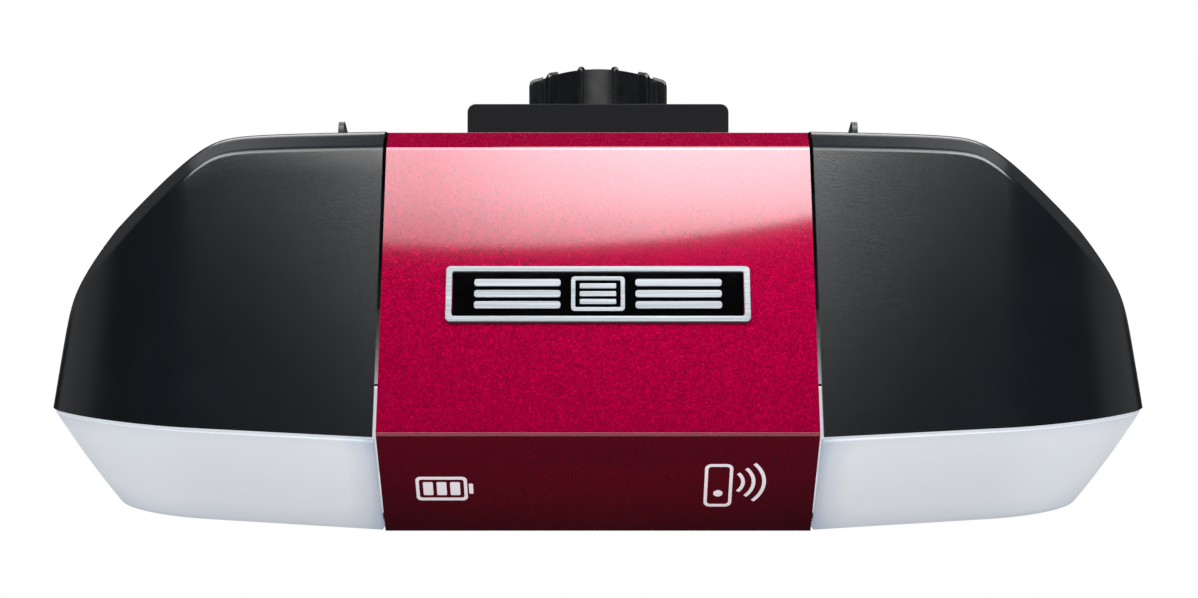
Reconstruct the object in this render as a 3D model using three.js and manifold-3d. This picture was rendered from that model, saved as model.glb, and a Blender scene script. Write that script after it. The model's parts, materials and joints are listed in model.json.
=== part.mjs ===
// Wide-body ceiling opener for a garage door: belt drive, two hinged light lenses, backup battery.
// Millimetres. X runs along the unit, -Y is the badge side, +Z is up, z = 0 is the lowest face.
import * as THREE from 'three';
import { mergeVertices } from 'three/addons/utils/BufferGeometryUtils.js';
import { ConvexGeometry } from 'three/addons/geometries/ConvexGeometry.js';
import Module from 'manifold-3d';

// ---------------------------------------------------------------- driving dimensions
const HALF_LENGTH = 264.5;          // tip of an end module, at the lens seam
const PANEL_HALF = 93;              // half width of the centre section
const MODULE_START = 94.6;          // inner plane of the end modules
const BOTTOM_EDGE = { y: 102.5, z: 0 };
const FOLD = { y: 143, z: 46.4 };   // foremost edge of the panels
const RIDGE = { y: 98.5, z: 168 };
const CREST = { y: 89.5, z: 175 };
const SHEET = 2;                    // panel thickness
const SHELL = 3;                    // end shroud thickness
const LENS_WALL = 2.5;
const LENS_BULGE = 2.5;             // how far the lens's end swells beyond straight
const SEAM_Z = 45.2;                // seam between shroud and lens
const SEAM_GAP = 0.8;
const DECK_TOP = 157.5;             // recessed metal deck that carries the rail and the hanger tabs
const DECK_THICKNESS = 2.5;
const WELL = { x: 128, y: 72 };     // half size of the recess above the deck
const FIT = 0.3;                    // clearance between touching pieces

const HINGE = { x: 95.9, z: 2.5, pinRadius: 1.2, barrelRadius: 2.4, halfSpan: 88, ear: 8, room: 4.6 };
const SHAFT = { radius: 6, bottom: 108.5, top: 203 };
const GEAR = { radius: 29, teeth: 36, z: 119, height: 12, toothDepth: 2 };
const WORM = { radius: 6.4, x: 36.6, halfLength: 24, pitch: 5, depth: 0.8, stemRadius: 4 };
const MOTOR = { radius: 29, start: 36, end: 98, wall: 2, shaftHole: 5 };
const GEAR_CASE = { x0: -34, x1: 46, y: 34, z0: 106.3, z1: 132 };
const ENCODER = {
  x: -20, z0: 138.5, z1: 144, pinionTeeth: 16, pinionRadius: 8, gearTeeth: 24, gearRadius: 11.4,
};
const SOCKET = { y: 44, z: 72, radius: 19, flange: 20.5, start: 92.9, end: 128, mouth: 14.6 };
const BATTERY = { x0: -86, x1: -16, y0: -72, y1: 18, z0: 4, z1: 104 };
const TRANSFORMER = { x0: 26, x1: 82, y0: -92, y1: -44, z0: 4, z1: 58, leg: 10, yoke: 10 };
const BASE = { x: 60.5, y: 50, top: 190, corner: 3.8, wall: 2.5, recess: 0.6, recessRadius: 37 };
const COVER = {
  radius: 29.7, wall: 2.2, top: 207.7, arch: 100, fins: 12, finRadius: 35.1, finTop: 209.2, finThickness: 2.4,
  slotHalf: 20, slotTop: 202.5,
};
const SPROCKET = {
  radius: 21.5, teeth: 16, toothDepth: 2.5, z0: 190, z1: 202, flange: 24.5, flangeThickness: 1.6,
};
const TAB = {
  x: 118.4, thickness: 2.5, near: 66, far: 34, top: 181.2, shoulder: 170, holeRadius: 4.2, foot: 16,
};

// ---------------------------------------------------------------- solids
const wasm = await Module();
wasm.setup();

function toSolid(geometry) {
  const bare = geometry.clone();
  bare.deleteAttribute('normal');
  bare.deleteAttribute('uv');
  const merged = mergeVertices(bare, 1e-4);
  return new wasm.Manifold(new wasm.Mesh({
    numProp: 3,
    vertProperties: new Float32Array(merged.attributes.position.array),
    triVerts: new Uint32Array(merged.index.array),
  }));
}

function toGeometry(solid) {
  const mesh = solid.getMesh();
  const geometry = new THREE.BufferGeometry();
  geometry.setAttribute('position', new THREE.BufferAttribute(mesh.vertProperties.slice(), 3));
  geometry.setIndex(new THREE.BufferAttribute(mesh.triVerts.slice(), 1));
  geometry.computeVertexNormals();
  return geometry;
}

const join = (...parts) => toGeometry(parts.map(toSolid).reduce((a, b) => a.add(b)));
const cut = (body, ...tools) => toGeometry(tools.map(toSolid).reduce((a, b) => a.subtract(b), toSolid(body)));
const common = (a, b) => toGeometry(toSolid(a).intersect(toSolid(b)));

// ---------------------------------------------------------------- shape helpers
function box(x0, x1, y0, y1, z0, z1) {
  const geometry = new THREE.BoxGeometry(x1 - x0, y1 - y0, z1 - z0);
  return geometry.translate((x0 + x1) / 2, (y0 + y1) / 2, (z0 + z1) / 2);
}

function shapeOf(points) {
  return new THREE.Shape(points.map(([u, v]) => new THREE.Vector2(u, v)));
}

function prism(shape, depth, curveSegments = 5) {
  return new THREE.ExtrudeGeometry(shape, { depth, bevelEnabled: false, curveSegments });
}

// A (y, z) outline carried from x0 to x1.
function prismX(points, x0, x1) {
  const basis = new THREE.Matrix4().makeBasis(
    new THREE.Vector3(0, 1, 0), new THREE.Vector3(0, 0, 1), new THREE.Vector3(1, 0, 0));
  return prism(shapeOf(points), x1 - x0).applyMatrix4(basis).translate(x0, 0, 0);
}

function roundedRectangle(width, height, radius) {
  const u = width / 2 - radius;
  const v = height / 2 - radius;
  const shape = new THREE.Shape();
  shape.absarc(u, v, radius, 0, Math.PI / 2);
  shape.absarc(-u, v, radius, Math.PI / 2, Math.PI);
  shape.absarc(-u, -v, radius, Math.PI, 1.5 * Math.PI);
  shape.absarc(u, -v, radius, 1.5 * Math.PI, 2 * Math.PI);
  return shape;
}

// A profile of (radius, height) points turned about Z; it starts and ends on the axis or closes.
function turned(profile, segments = 32) {
  const points = profile.map(([r, z]) => new THREE.Vector2(r, z));
  return new THREE.LatheGeometry(points, segments).rotateX(Math.PI / 2);
}

function ringProfile(inner, outer, z0, z1) {
  return [[inner, z0], [outer, z0], [outer, z1], [inner, z1], [inner, z0]];
}

function cylinder(radius, z0, z1, segments = 24) {
  const rod = new THREE.CylinderGeometry(radius, radius, z1 - z0, segments);
  return rod.rotateX(Math.PI / 2).translate(0, 0, (z0 + z1) / 2);
}

const alongX = (geometry) => geometry.rotateY(Math.PI / 2);
const alongY = (geometry) => geometry.rotateX(-Math.PI / 2);

// Thickens an open line of (y, z) points to its left side by the sheet thickness.
function sheetOutline(points, thickness) {
  const side = points.map((point, i) => {
    const before = points[Math.max(i - 1, 0)];
    const after = points[Math.min(i + 1, points.length - 1)];
    const unit = (a, b) => new THREE.Vector2(b[0] - a[0], b[1] - a[1]).normalize();
    const arrive = i > 0 ? unit(before, point) : unit(point, after);
    const leave = i < points.length - 1 ? unit(point, after) : arrive;
    const normal = new THREE.Vector2(-arrive.y - leave.y, arrive.x + leave.x).normalize();
    const mitre = thickness / (normal.x * -arrive.y + normal.y * arrive.x);
    return [point[0] + normal.x * mitre, point[1] + normal.y * mitre];
  });
  return [...points, ...side.reverse()];
}

// ---------------------------------------------------------------- end modules
// A plan outline runs straight from the inner plane to a knee and then curves to the tip on Y = 0.
function planOutline(start, knee, tipX, leave, arrive) {
  const run = new THREE.Vector2(knee[0] - start[0], knee[1] - start[1]).normalize();
  const line = new THREE.LineCurve(new THREE.Vector2(...start), new THREE.Vector2(...knee));
  const nose = new THREE.CubicBezierCurve(
    new THREE.Vector2(...knee),
    new THREE.Vector2(knee[0] + run.x * leave, knee[1] + run.y * leave),
    new THREE.Vector2(tipX, arrive),
    new THREE.Vector2(tipX, 0));
  return (t) => (t < 0.5 ? line.getPoint(2 * t) : nose.getPoint(2 * t - 1));
}

const seamOutline = planOutline([MODULE_START, 142.6], [177, 104], HALF_LENGTH, 42, 22);
const ridgeOutline = planOutline([MODULE_START, 98.9], [184, 69], 244.5, 22, 20);
const floorOutline = planOutline([MODULE_START, 101.5], [178, 69], 231, 30, 22);

const softMin = (a, b, blend) => (a + b - Math.hypot(a - b, blend)) / 2;
const RIDGE_LEVEL = 168.6;
const ridgeSlope = (x) => 110 + 0.86 * (242.2 - x);
const flankSlope = (x) => 97 + 6.4 * (255.3 - x);
const ridgeHeight = (x) => softMin(softMin(RIDGE_LEVEL, ridgeSlope(x), 7.8), flankSlope(x), 29);
const FACET = { out: 6.3, back: 9.5, up: 7.4, fadeBelow: 50 };

// Point of the outer wall at outline position t, a fraction w of the way from seam to ridge level.
function wallPoint(t, w) {
  const plan = seamOutline(t).lerp(ridgeOutline(t), w);
  return new THREE.Vector3(plan.x, plan.y, SEAM_Z + w * (RIDGE_LEVEL - SEAM_Z));
}

// Where the wall meets the sloping roof.
function ridgePoint(t) {
  let low = 0;
  let high = 1;
  for (let i = 0; i < 30; i += 1) {
    const middle = (low + high) / 2;
    const point = wallPoint(t, middle);
    if (point.z < ridgeHeight(point.x)) low = middle;
    else high = middle;
  }
  return wallPoint(t, low);
}

// The narrow facet above the ridge leans back and fades out towards the tip.
function crestPoint(t) {
  const ridge = ridgePoint(t);
  const rise = ridgeHeight(ridge.x + 0.5) - ridgeHeight(ridge.x - 0.5);
  const length = Math.hypot(rise, 1);
  const step = new THREE.Vector3(-FACET.out * rise / length, -FACET.back, FACET.up / length);
  return ridge.addScaledVector(step, Math.min(1, ridge.y / FACET.fadeBelow));
}

const STATIONS = [0, 0.36, 0.43, 0.5, 0.57, 0.64, 0.72, 0.8, 0.87, 0.93, 0.97, 1];

// Closed convex block through each station's points and their mirror images behind Y = 0.
function loft(pointsAt) {
  const points = STATIONS.flatMap(pointsAt);
  return new ConvexGeometry([...points, ...points.map((p) => new THREE.Vector3(p.x, -p.y, p.z))]);
}

// Moves an outer point inwards by about a wall thickness: Y shrinks towards the centre plane, X shrinks
// more the nearer the point is to the tip, and station 0 goes right through the open inner plane.
const OVERSHOOT = 6;
const TIP_REACH = 130;
const SLANT_EXTRA = 0.15;
function inwards(point, t, wall, sink) {
  const x = t === 0 ? MODULE_START - OVERSHOOT : point.x - wall * (point.x - MODULE_START) / TIP_REACH;
  return new THREE.Vector3(x, point.y * (1 - wall / FOLD.y) - wall * SLANT_EXTRA, point.z - sink);
}

function shroudGeometry() {
  const outer = loft((t) => [wallPoint(t, 0), ridgePoint(t), crestPoint(t)]);
  const hollow = loft((t) => [
    inwards(wallPoint(t, 0), t, SHELL, 10),
    inwards(wallPoint(t, 0), t, SHELL, 0),
    inwards(ridgePoint(t), t, SHELL, SHELL),
    inwards(crestPoint(t), t, SHELL, SHELL)]);
  const wallFoot = DECK_TOP - 6.5;
  const wallTop = CREST.z - 2;
  const wellWall = box(MODULE_START, WELL.x + SHELL, -WELL.y - SHELL, WELL.y + SHELL, wallFoot, wallTop);
  const recess = box(MODULE_START - OVERSHOOT, WELL.x, -WELL.y, WELL.y, wallFoot - 3, CREST.z + 15);
  return cut(join(cut(outer, hollow), wellWall), recess);
}

// Rod along Y on the right lens's hinge axis.
function hingeRod(radius, y0, y1) {
  return alongY(cylinder(radius, y0, y1, 16)).translate(HINGE.x, 0, HINGE.z);
}

function lensGeometry() {
  const rim = SEAM_Z - SEAM_GAP;
  const edge = 3;
  const drawn = (t, w, z, inset) => {
    const plan = floorOutline(t).lerp(seamOutline(t), w);
    const bulge = LENS_BULGE * 4 * w * (1 - w) * t;
    return new THREE.Vector3(plan.x - inset * t + bulge, plan.y - inset, z);
  };
  const outer = loft((t) => [
    drawn(t, 0, 0, edge * 0.7), drawn(t, edge / rim, edge * 0.6, 0.4),
    drawn(t, 0.5, 0.5 * rim, 0.8), drawn(t, 1, rim, 1.2)]);
  const hollow = loft((t) => [
    inwards(drawn(t, 0, LENS_WALL, edge * 0.4), t, LENS_WALL, 0),
    inwards(drawn(t, 1, rim, 1.2), t, LENS_WALL, 0),
    inwards(drawn(t, 1, rim + 10, 1.2), t, LENS_WALL, 0)]);
  const tray = cut(outer, hollow);
  const reach = HINGE.halfSpan - HINGE.ear - 2;
  const barrel = hingeRod(HINGE.barrelRadius, -reach, reach);
  const web = box(HINGE.x, HINGE.x + 6, -reach, reach, FIT, LENS_WALL);
  const bore = hingeRod(HINGE.pinRadius + FIT, -reach - 5, reach + 5);
  const earRooms = [-1, 1].map((side) => {
    const middle = side * (HINGE.halfSpan - HINGE.ear / 2);
    const half = HINGE.ear / 2 + 1.5;
    return hingeRod(HINGE.room, middle - half, middle + half);
  });
  // The chamfer on the inner bottom edge lets the lens pass the bottom plate as it swings.
  const chamfer = box(-1.2, 1.2, -FOLD.y, FOLD.y, -1.2, 1.2).rotateY(Math.PI / 4);
  chamfer.translate(MODULE_START, 0, 0);
  return cut(join(tray, barrel, web), bore, chamfer, ...earRooms);
}

// Turns a geometry made for the right end (+X) into its mirror image on the left.
function mirrored(geometry) {
  const copy = mergeVertices(geometry.clone().scale(-1, 1, 1));
  const index = copy.index.array;
  for (let i = 0; i < index.length; i += 3) {
    [index[i], index[i + 1]] = [index[i + 1], index[i]];
  }
  copy.computeVertexNormals();
  return copy;
}

// ---------------------------------------------------------------- centre section
function panelOutline(side) {
  const line = [
    [-90, 0], [-BOTTOM_EDGE.y, BOTTOM_EDGE.z], [-FOLD.y, FOLD.z],
    [-RIDGE.y, RIDGE.z], [-CREST.y, CREST.z], [-WELL.y - SHEET, CREST.z], [-WELL.y - SHEET, DECK_TOP + FIT]];
  const outline = sheetOutline(line, -SHEET);
  return outline.map(([y, z]) => [side * -y, z]).reverse();
}

const frontPanel = () => prismX(panelOutline(-1).reverse(), -PANEL_HALF, PANEL_HALF);
const rearPanelBlank = () => prismX(panelOutline(1), -PANEL_HALF, PANEL_HALF);

// The side walls stand just inside the folded panels.
function sideWallOutline() {
  const half = [[97.5, SHEET + 0.6], [FOLD.y - 4.4, FOLD.z], [98.6, DECK_TOP - DECK_THICKNESS - FIT]];
  return [...half, ...half.map(([y, z]) => [-y, z]).reverse()];
}

// Local frame on the rear panel's upper face: u = -X, v up the slope, w outwards.
const slope = Math.atan2(FOLD.y - RIDGE.y, RIDGE.z - FOLD.z);
const FACE_ORIGIN = new THREE.Vector3(0, (FOLD.y + RIDGE.y) / 2, (FOLD.z + RIDGE.z) / 2);
const rearFace = new THREE.Matrix4().makeBasis(
  new THREE.Vector3(-1, 0, 0),
  new THREE.Vector3(0, -Math.sin(slope), Math.cos(slope)),
  new THREE.Vector3(0, Math.cos(slope), Math.sin(slope))).setPosition(FACE_ORIGIN);
const frontFace = new THREE.Matrix4().makeBasis(
  new THREE.Vector3(1, 0, 0),
  new THREE.Vector3(0, Math.sin(slope), Math.cos(slope)),
  new THREE.Vector3(0, -Math.cos(slope), Math.sin(slope)))
  .setPosition(FACE_ORIGIN.x, -FACE_ORIGIN.y, FACE_ORIGIN.z);

const onRear = (geometry) => geometry.applyMatrix4(rearFace);
const onFront = (geometry) => geometry.applyMatrix4(frontFace);

const CONTROLS = { u: 40, v: -6, width: 66, height: 50 };
const GLAND = { u: -62, v: -22, radius: 8, bore: 5 };
const BUTTON_ROW = [
  { name: 'up_button', u: 22, v: 7, width: 9, height: 9 },
  { name: 'adjust_button', u: 36, v: 7, width: 9, height: 6 },
  { name: 'down_button', u: 50, v: 7, width: 9, height: 9 },
  { name: 'learn_button', u: 64, v: 7, width: 8, height: 8 },
];
const TERMINALS = ['red_terminal_tab', 'white_terminal_tab', 'common_terminal_tab', 'grey_terminal_tab'];
const TERMINAL_PITCH = 9;
const terminalU = (i) => CONTROLS.u + (i - (TERMINALS.length - 1) / 2) * TERMINAL_PITCH;
const TERMINAL_V = -17;
const PANEL_SCREWS = [[-84, 50], [84, 50], [-84, -50], [84, -50]];
const SCREW_HOLE = 1.9;
const THROUGH = 10;                 // half length of the tools that cut right through a panel

function localBox(u, v, width, height, w0, w1) {
  return box(u - width / 2, u + width / 2, v - height / 2, v + height / 2, w0, w1);
}

function rearPanel() {
  const { u, v, width, height } = CONTROLS;
  const window = onRear(localBox(u, v, width + 2 * FIT, height + 2 * FIT, -THROUGH, THROUGH));
  const cordHole = onRear(cylinder(GLAND.radius + FIT, -THROUGH, THROUGH).translate(GLAND.u, GLAND.v, 0));
  const screws = PANEL_SCREWS.map(([screwU, screwV]) =>
    onRear(cylinder(SCREW_HOLE, -THROUGH, THROUGH, 12).translate(screwU, screwV, 0)));
  return cut(rearPanelBlank(), window, cordHole, ...screws);
}

function controlBezel() {
  const { u, v, width, height } = CONTROLS;
  const plate = prism(roundedRectangle(width, height, 3), 4.5).translate(u, v, -3);
  const buttons = BUTTON_ROW.map((b) => localBox(b.u, b.v, b.width + 1, b.height + 1, -THROUGH, THROUGH));
  const blockRoom = localBox(u, TERMINAL_V, TERMINAL_PITCH * TERMINALS.length + 2, 12, -THROUGH, THROUGH);
  return onRear(cut(plate, ...buttons, blockRoom));
}

function terminalBlock() {
  const body = localBox(CONTROLS.u, TERMINAL_V, TERMINAL_PITCH * TERMINALS.length, 10, -11, 3);
  const pockets = TERMINALS.map((_, i) => localBox(terminalU(i), TERMINAL_V + 2, 6, 4.6, -7, 10));
  const wires = TERMINALS.map((_, i) =>
    cylinder(1.3, -6, 10, 10).translate(terminalU(i), TERMINAL_V - 2.7, 0));
  return onRear(cut(body, ...pockets, ...wires));
}

// ---------------------------------------------------------------- drive
function toothedDisc(radius, teeth, depth, bore, z0, z1) {
  const steps = teeth * 4;
  const points = Array.from({ length: steps }, (_, i) => {
    const r = i % 4 < 2 ? radius : radius - depth;
    const angle = (i + (i % 2 ? -0.15 : 0.15)) * 2 * Math.PI / steps;
    return [r * Math.cos(angle), r * Math.sin(angle)];
  });
  const disc = prism(shapeOf(points), z1 - z0).translate(0, 0, z0);
  return cut(disc, cylinder(bore, z0 - 5, z1 + 5));
}

// Everything from z = low up to an arch that spans X and runs along Y.
function underArch(top, low) {
  const half = COVER.finRadius + 5;
  const start = Math.acos(half / COVER.arch);
  const shape = new THREE.Shape();
  shape.moveTo(-half, low);
  shape.lineTo(half, low);
  shape.absarc(0, top - COVER.arch, COVER.arch, start, Math.PI - start);
  return prism(shape, 2 * half, 24).rotateX(Math.PI / 2).translate(0, half, 0);
}

// Ribbed cover with an arched top. It is open underneath, and a slot at the rear lets the belt in.
function sprocketCover() {
  const { radius, wall, top, fins, finRadius, finTop, finThickness, slotHalf, slotTop } = COVER;
  const bottom = BASE.top - BASE.recess + FIT;
  const drum = common(cylinder(radius, bottom, finTop + 5, 48), underArch(top, bottom - 1));
  const hollow = common(cylinder(radius - wall, bottom - 5, finTop, 48), underArch(top - wall, bottom - 10));
  const ribs = [];
  for (let i = 0; i < fins; i += 1) {
    const angle = (i + 0.5) * 2 * Math.PI / fins;
    const overSlot = Math.sin(angle) > 0 && Math.abs(Math.cos(angle)) * finRadius < slotHalf;
    const blade = box(radius - wall, finRadius, -finThickness / 2, finThickness / 2, bottom, finTop + 5);
    if (!overSlot) ribs.push(common(blade.rotateZ(angle), underArch(finTop, bottom - 1)));
  }
  const slot = box(-slotHalf, slotHalf, 5, finRadius + 5, bottom - 5, slotTop);
  return cut(join(drum, ...ribs), hollow, slot);
}

function sprocket() {
  const { radius, teeth, toothDepth, z0, z1, flange, flangeThickness } = SPROCKET;
  const bore = SHAFT.radius + FIT;
  const rim = turned(ringProfile(bore, flange, z0, z0 + flangeThickness), 40);
  return join(toothedDisc(radius, teeth, toothDepth, bore, z0 + flangeThickness / 2, z1), rim);
}

// Single-start thread made by moving a turned rod's surface in and out with angle and length.
function worm() {
  const { radius, halfLength, pitch, depth, stemRadius } = WORM;
  const profile = [[0, -halfLength]];
  for (let z = -halfLength; z <= halfLength; z += pitch / 4) profile.push([radius - depth, z]);
  profile.push([0, halfLength]);
  const rod = turned(profile, 14);
  const position = rod.attributes.position;
  for (let i = 0; i < position.count; i += 1) {
    const [x, y, z] = [position.getX(i), position.getY(i), position.getZ(i)];
    const distance = Math.hypot(x, y);
    if (distance < 1) continue;
    const wave = 1 + depth * Math.cos(Math.atan2(y, x) - 2 * Math.PI * z / pitch) / distance;
    position.setXY(i, x * wave, y * wave);
  }
  const stem = cylinder(stemRadius, halfLength - 2, MOTOR.end - 3, 20);
  return onMotorAxis(join(rod, stem));
}

const onMotorAxis = (geometry) => alongY(geometry).translate(WORM.x, 0, GEAR.z);

function motorCan() {
  const { radius, start, end, wall, shaftHole } = MOTOR;
  const floor = start + 3;
  const profile = [[shaftHole, start], [radius, start], [radius, end], [radius - wall, end],
    [radius - wall, floor], [shaftHole, floor], [shaftHole, start]];
  return onMotorAxis(turned(profile, 36));
}

function motorEndBell() {
  const { radius, end, shaftHole } = MOTOR;
  const seat = end + FIT;
  const profile = [[shaftHole, seat], [radius, seat], [radius, end + 2.5], [12, end + 5],
    [shaftHole, end + 5], [shaftHole, seat]];
  return onMotorAxis(turned(profile, 36));
}

function armature() {
  const gap = 8;
  const profile = ringProfile(WORM.stemRadius + FIT, MOTOR.radius - 5, MOTOR.start + gap, MOTOR.end - gap);
  return onMotorAxis(turned(profile, 24));
}

function gearCase() {
  const { x0, x1, y, z0, z1 } = GEAR_CASE;
  const room = 2;
  const wormRadius = WORM.radius + room;
  const wormBore = onMotorAxis(cylinder(wormRadius, -y + 4, y + 11, 20));
  return cut(box(x0, x1, -y, y, z0, z1),
    cylinder(GEAR.radius + room, z0 + 3.7, z1 + 8, 32),
    wormBore,
    box(WORM.x - wormRadius, WORM.x + wormRadius, -y + 4, y - 4, GEAR.z, z1 + 8),
    cylinder(10.3, z0 - 6, z0 + 6));
}

// ---------------------------------------------------------------- hanger tab, screws, lamp
// Upright plate with a bolt hole and a rounded nose, on a short foot that lies on the deck.
function hangerTab() {
  const { x, thickness, near, far, top, shoulder, holeRadius, foot } = TAB;
  const deck = DECK_TOP + FIT;
  const nose = 4.8;
  const side = new THREE.Shape();
  side.moveTo(-near, deck);
  side.lineTo(-far, deck);
  side.lineTo(-far, shoulder);
  side.lineTo(-near + 9, top - 1.2);
  side.absarc(-near + nose, top - nose, nose, Math.PI / 3, Math.PI);
  const hole = new THREE.Path();
  hole.absarc(-near + 15, shoulder - 3.4, holeRadius, 0, 2 * Math.PI, true);
  side.holes.push(hole);
  const basis = new THREE.Matrix4().makeBasis(
    new THREE.Vector3(0, 1, 0), new THREE.Vector3(0, 0, 1), new THREE.Vector3(1, 0, 0));
  const plate = prism(side, thickness).applyMatrix4(basis).translate(x - thickness, 0, 0);
  return join(plate, box(x - foot, x - thickness / 2, -near, -far, deck, deck + 2));
}

// Hex washer-head screw with its axis on Z and its seat at z = 0, head upwards.
function hexScrew(shank) {
  return join(cylinder(5, FIT, 1.4, 20), cylinder(3.6, 1, 4.6, 6), cylinder(1.6, -shank, 1, 12));
}

function lampSocket() {
  const { y, z, radius, flange, start, end, mouth } = SOCKET;
  const profile = [[0, start], [flange, start], [flange, start + 2.5], [radius, start + 4],
    [radius, end], [mouth, end], [mouth, start + 8], [0, start + 8]];
  return alongX(turned(profile, 28)).translate(0, y, z);
}

// Screw base, a neck that widens into the globe, and a rounded end.
function bulb() {
  const neck = SOCKET.end + 7;
  const widest = neck + 36;
  const cap = 13.4;
  const profile = [[0, SOCKET.start + 9], [cap, SOCKET.start + 9], [cap, SOCKET.end + 0.6],
    [cap + 2.2, SOCKET.end + 2.5], [16, neck]];
  const globe = new THREE.CubicBezierCurve(
    new THREE.Vector2(16, neck), new THREE.Vector2(20, neck + 18),
    new THREE.Vector2(30, neck + 18), new THREE.Vector2(30, widest));
  const dome = new THREE.EllipseCurve(0, widest, 30, 27, 0, Math.PI / 2);
  const points = [...globe.getPoints(4).slice(1), ...dome.getPoints(5).slice(1)];
  points.forEach((p) => profile.push([Math.abs(p.x) < 1e-6 ? 0 : p.x, p.y]));
  return alongX(turned(profile, 24)).translate(0, SOCKET.y, SOCKET.z);
}

// ---------------------------------------------------------------- materials
const FINISH = {
  red_metal: { color: 0xb00038, roughness: 0.25, metalness: 0.6 },
  black_plastic: { color: 0x202428, roughness: 0.55, metalness: 0 },
  satin_black: { color: 0x1c1f22, roughness: 0.4, metalness: 0.1 },
  lens: { color: 0xdfe6ef, roughness: 0.45, metalness: 0 },
  silver: { color: 0xc4c6c8, roughness: 0.35, metalness: 0.9 },
  gloss_black: { color: 0x050505, roughness: 0.15, metalness: 0 },
  galvanised: { color: 0xa6abae, roughness: 0.45, metalness: 0.8 },
  zinc: { color: 0xb9b6a8, roughness: 0.35, metalness: 0.85 },
  nylon: { color: 0xe9e5d8, roughness: 0.6, metalness: 0 },
  bronze: { color: 0x9c7440, roughness: 0.4, metalness: 0.9 },
  copper: { color: 0xa5572e, roughness: 0.4, metalness: 0.8 },
  board: { color: 0x14532d, roughness: 0.5, metalness: 0 },
  glass: { color: 0xf4f4ee, roughness: 0.3, metalness: 0 },
  yellow: { color: 0xe8b90a, roughness: 0.4, metalness: 0 },
  grey: { color: 0x6d7175, roughness: 0.5, metalness: 0 },
  red: { color: 0xb3201c, roughness: 0.4, metalness: 0 },
  white: { color: 0xe6e6e2, roughness: 0.4, metalness: 0 },
};

const opener = new THREE.Group();

function add(name, geometry, finish) {
  const mesh = new THREE.Mesh(geometry, new THREE.MeshStandardMaterial(FINISH[finish]));
  mesh.name = name;
  opener.add(mesh);
}

function addPair(name, geometry, finish) {
  add(`left_${name}`, mirrored(geometry), finish);
  add(`right_${name}`, geometry, finish);
}

// ---------------------------------------------------------------- chassis and covers
const deckBlank = box(-WELL.x + FIT, WELL.x - FIT, -WELL.y + FIT, WELL.y - FIT,
  DECK_TOP - DECK_THICKNESS, DECK_TOP);
const BUSHING = { radius: 11, z0: 151, z1: 162 };
const RAIL_BOLT = { xs: [-72, 72], y: 40, radius: 3.9, head: 7, headHeight: 6, below: 8, above: 16 };
const deckHoles = RAIL_BOLT.xs.map((x) =>
  cylinder(RAIL_BOLT.radius + 0.4, BUSHING.z0, BUSHING.z1, 16).translate(x, RAIL_BOLT.y, 0));
add('deck_plate', cut(deckBlank, cylinder(BUSHING.radius + FIT, BUSHING.z0, BUSHING.z1), ...deckHoles),
  'galvanised');

const ears = [-1, 1].flatMap((side) => [-1, 1].flatMap((end) => {
  const y = end * (HINGE.halfSpan - HINGE.ear / 2);
  const half = HINGE.ear / 2;
  const knuckle = alongY(cylinder(HINGE.z, -half, half, 16)).translate(side * HINGE.x, y, HINGE.z);
  const arm = box(-2.2, 2.2, y - half, y + half, 0, SHEET).translate(side * (HINGE.x - 2.2), 0, 0);
  return [knuckle, arm];
}));
const earBores = [hingeRod(HINGE.pinRadius + FIT, -100, 100)];
earBores.push(mirrored(earBores[0]));
const floorPlate = box(-PANEL_HALF, PANEL_HALF, -89, 89, 0, SHEET);
add('bottom_plate', cut(join(floorPlate, ...ears), ...earBores), 'satin_black');

const wallThickness = 1.5;
const wallX = 88.5;
const rightWall = prismX(sideWallOutline(), wallX, wallX + wallThickness);
const batteryWindow = box(-wallX - 10, -wallX + 10, BATTERY.y0 - 2, BATTERY.y1 + 2, BATTERY.z0 + 1,
  BATTERY.z1 + 2);
const wireHole = alongX(cylinder(7, wallX - 10, wallX + 10, 16)).translate(0, SOCKET.y, SOCKET.z);
add('right_side_wall', cut(rightWall, wireHole), 'galvanised');
add('left_side_wall', cut(mirrored(rightWall), batteryWindow, mirrored(wireHole)), 'galvanised');

add('front_panel', frontPanel(), 'red_metal');
add('rear_panel', rearPanel(), 'satin_black');
addPair('shroud', shroudGeometry(), 'black_plastic');
addPair('lens', lensGeometry(), 'lens');
addPair('hinge_pin', hingeRod(HINGE.pinRadius, -HINGE.halfSpan, HINGE.halfSpan), 'galvanised');

// ---------------------------------------------------------------- badge on the front panel
const BADGE = { v: -3.3, width: 130.4, height: 25.1, corner: 2, border: 2.7, rimHeight: 1.3, plateHeight: 0.8 };
const frameBlank = prism(roundedRectangle(BADGE.width, BADGE.height, BADGE.corner), BADGE.rimHeight);
const insetSize = [BADGE.width - 2 * BADGE.border, BADGE.height - 2 * BADGE.border];
const frameHole = prism(roundedRectangle(...insetSize, 1), 6).translate(0, 0, -2);
add('badge_frame', onFront(cut(frameBlank, frameHole).translate(0, BADGE.v, FIT)), 'silver');
const plateOutline = roundedRectangle(insetSize[0] - 2 * FIT, insetSize[1] - 2 * FIT, 0.8);
const insetPlate = prism(plateOutline, BADGE.plateHeight);
add('badge_inset', onFront(insetPlate.translate(0, BADGE.v, FIT)), 'gloss_black');

// ---------------------------------------------------------------- hanger tabs and rail seat
const tab = hangerTab();
add('hanger_tab_front_right', tab, 'satin_black');
add('hanger_tab_front_left', mirrored(tab), 'satin_black');
add('hanger_tab_rear_right', mirrored(tab).rotateZ(Math.PI), 'satin_black');
add('hanger_tab_rear_left', tab.clone().rotateZ(Math.PI), 'satin_black');

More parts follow.
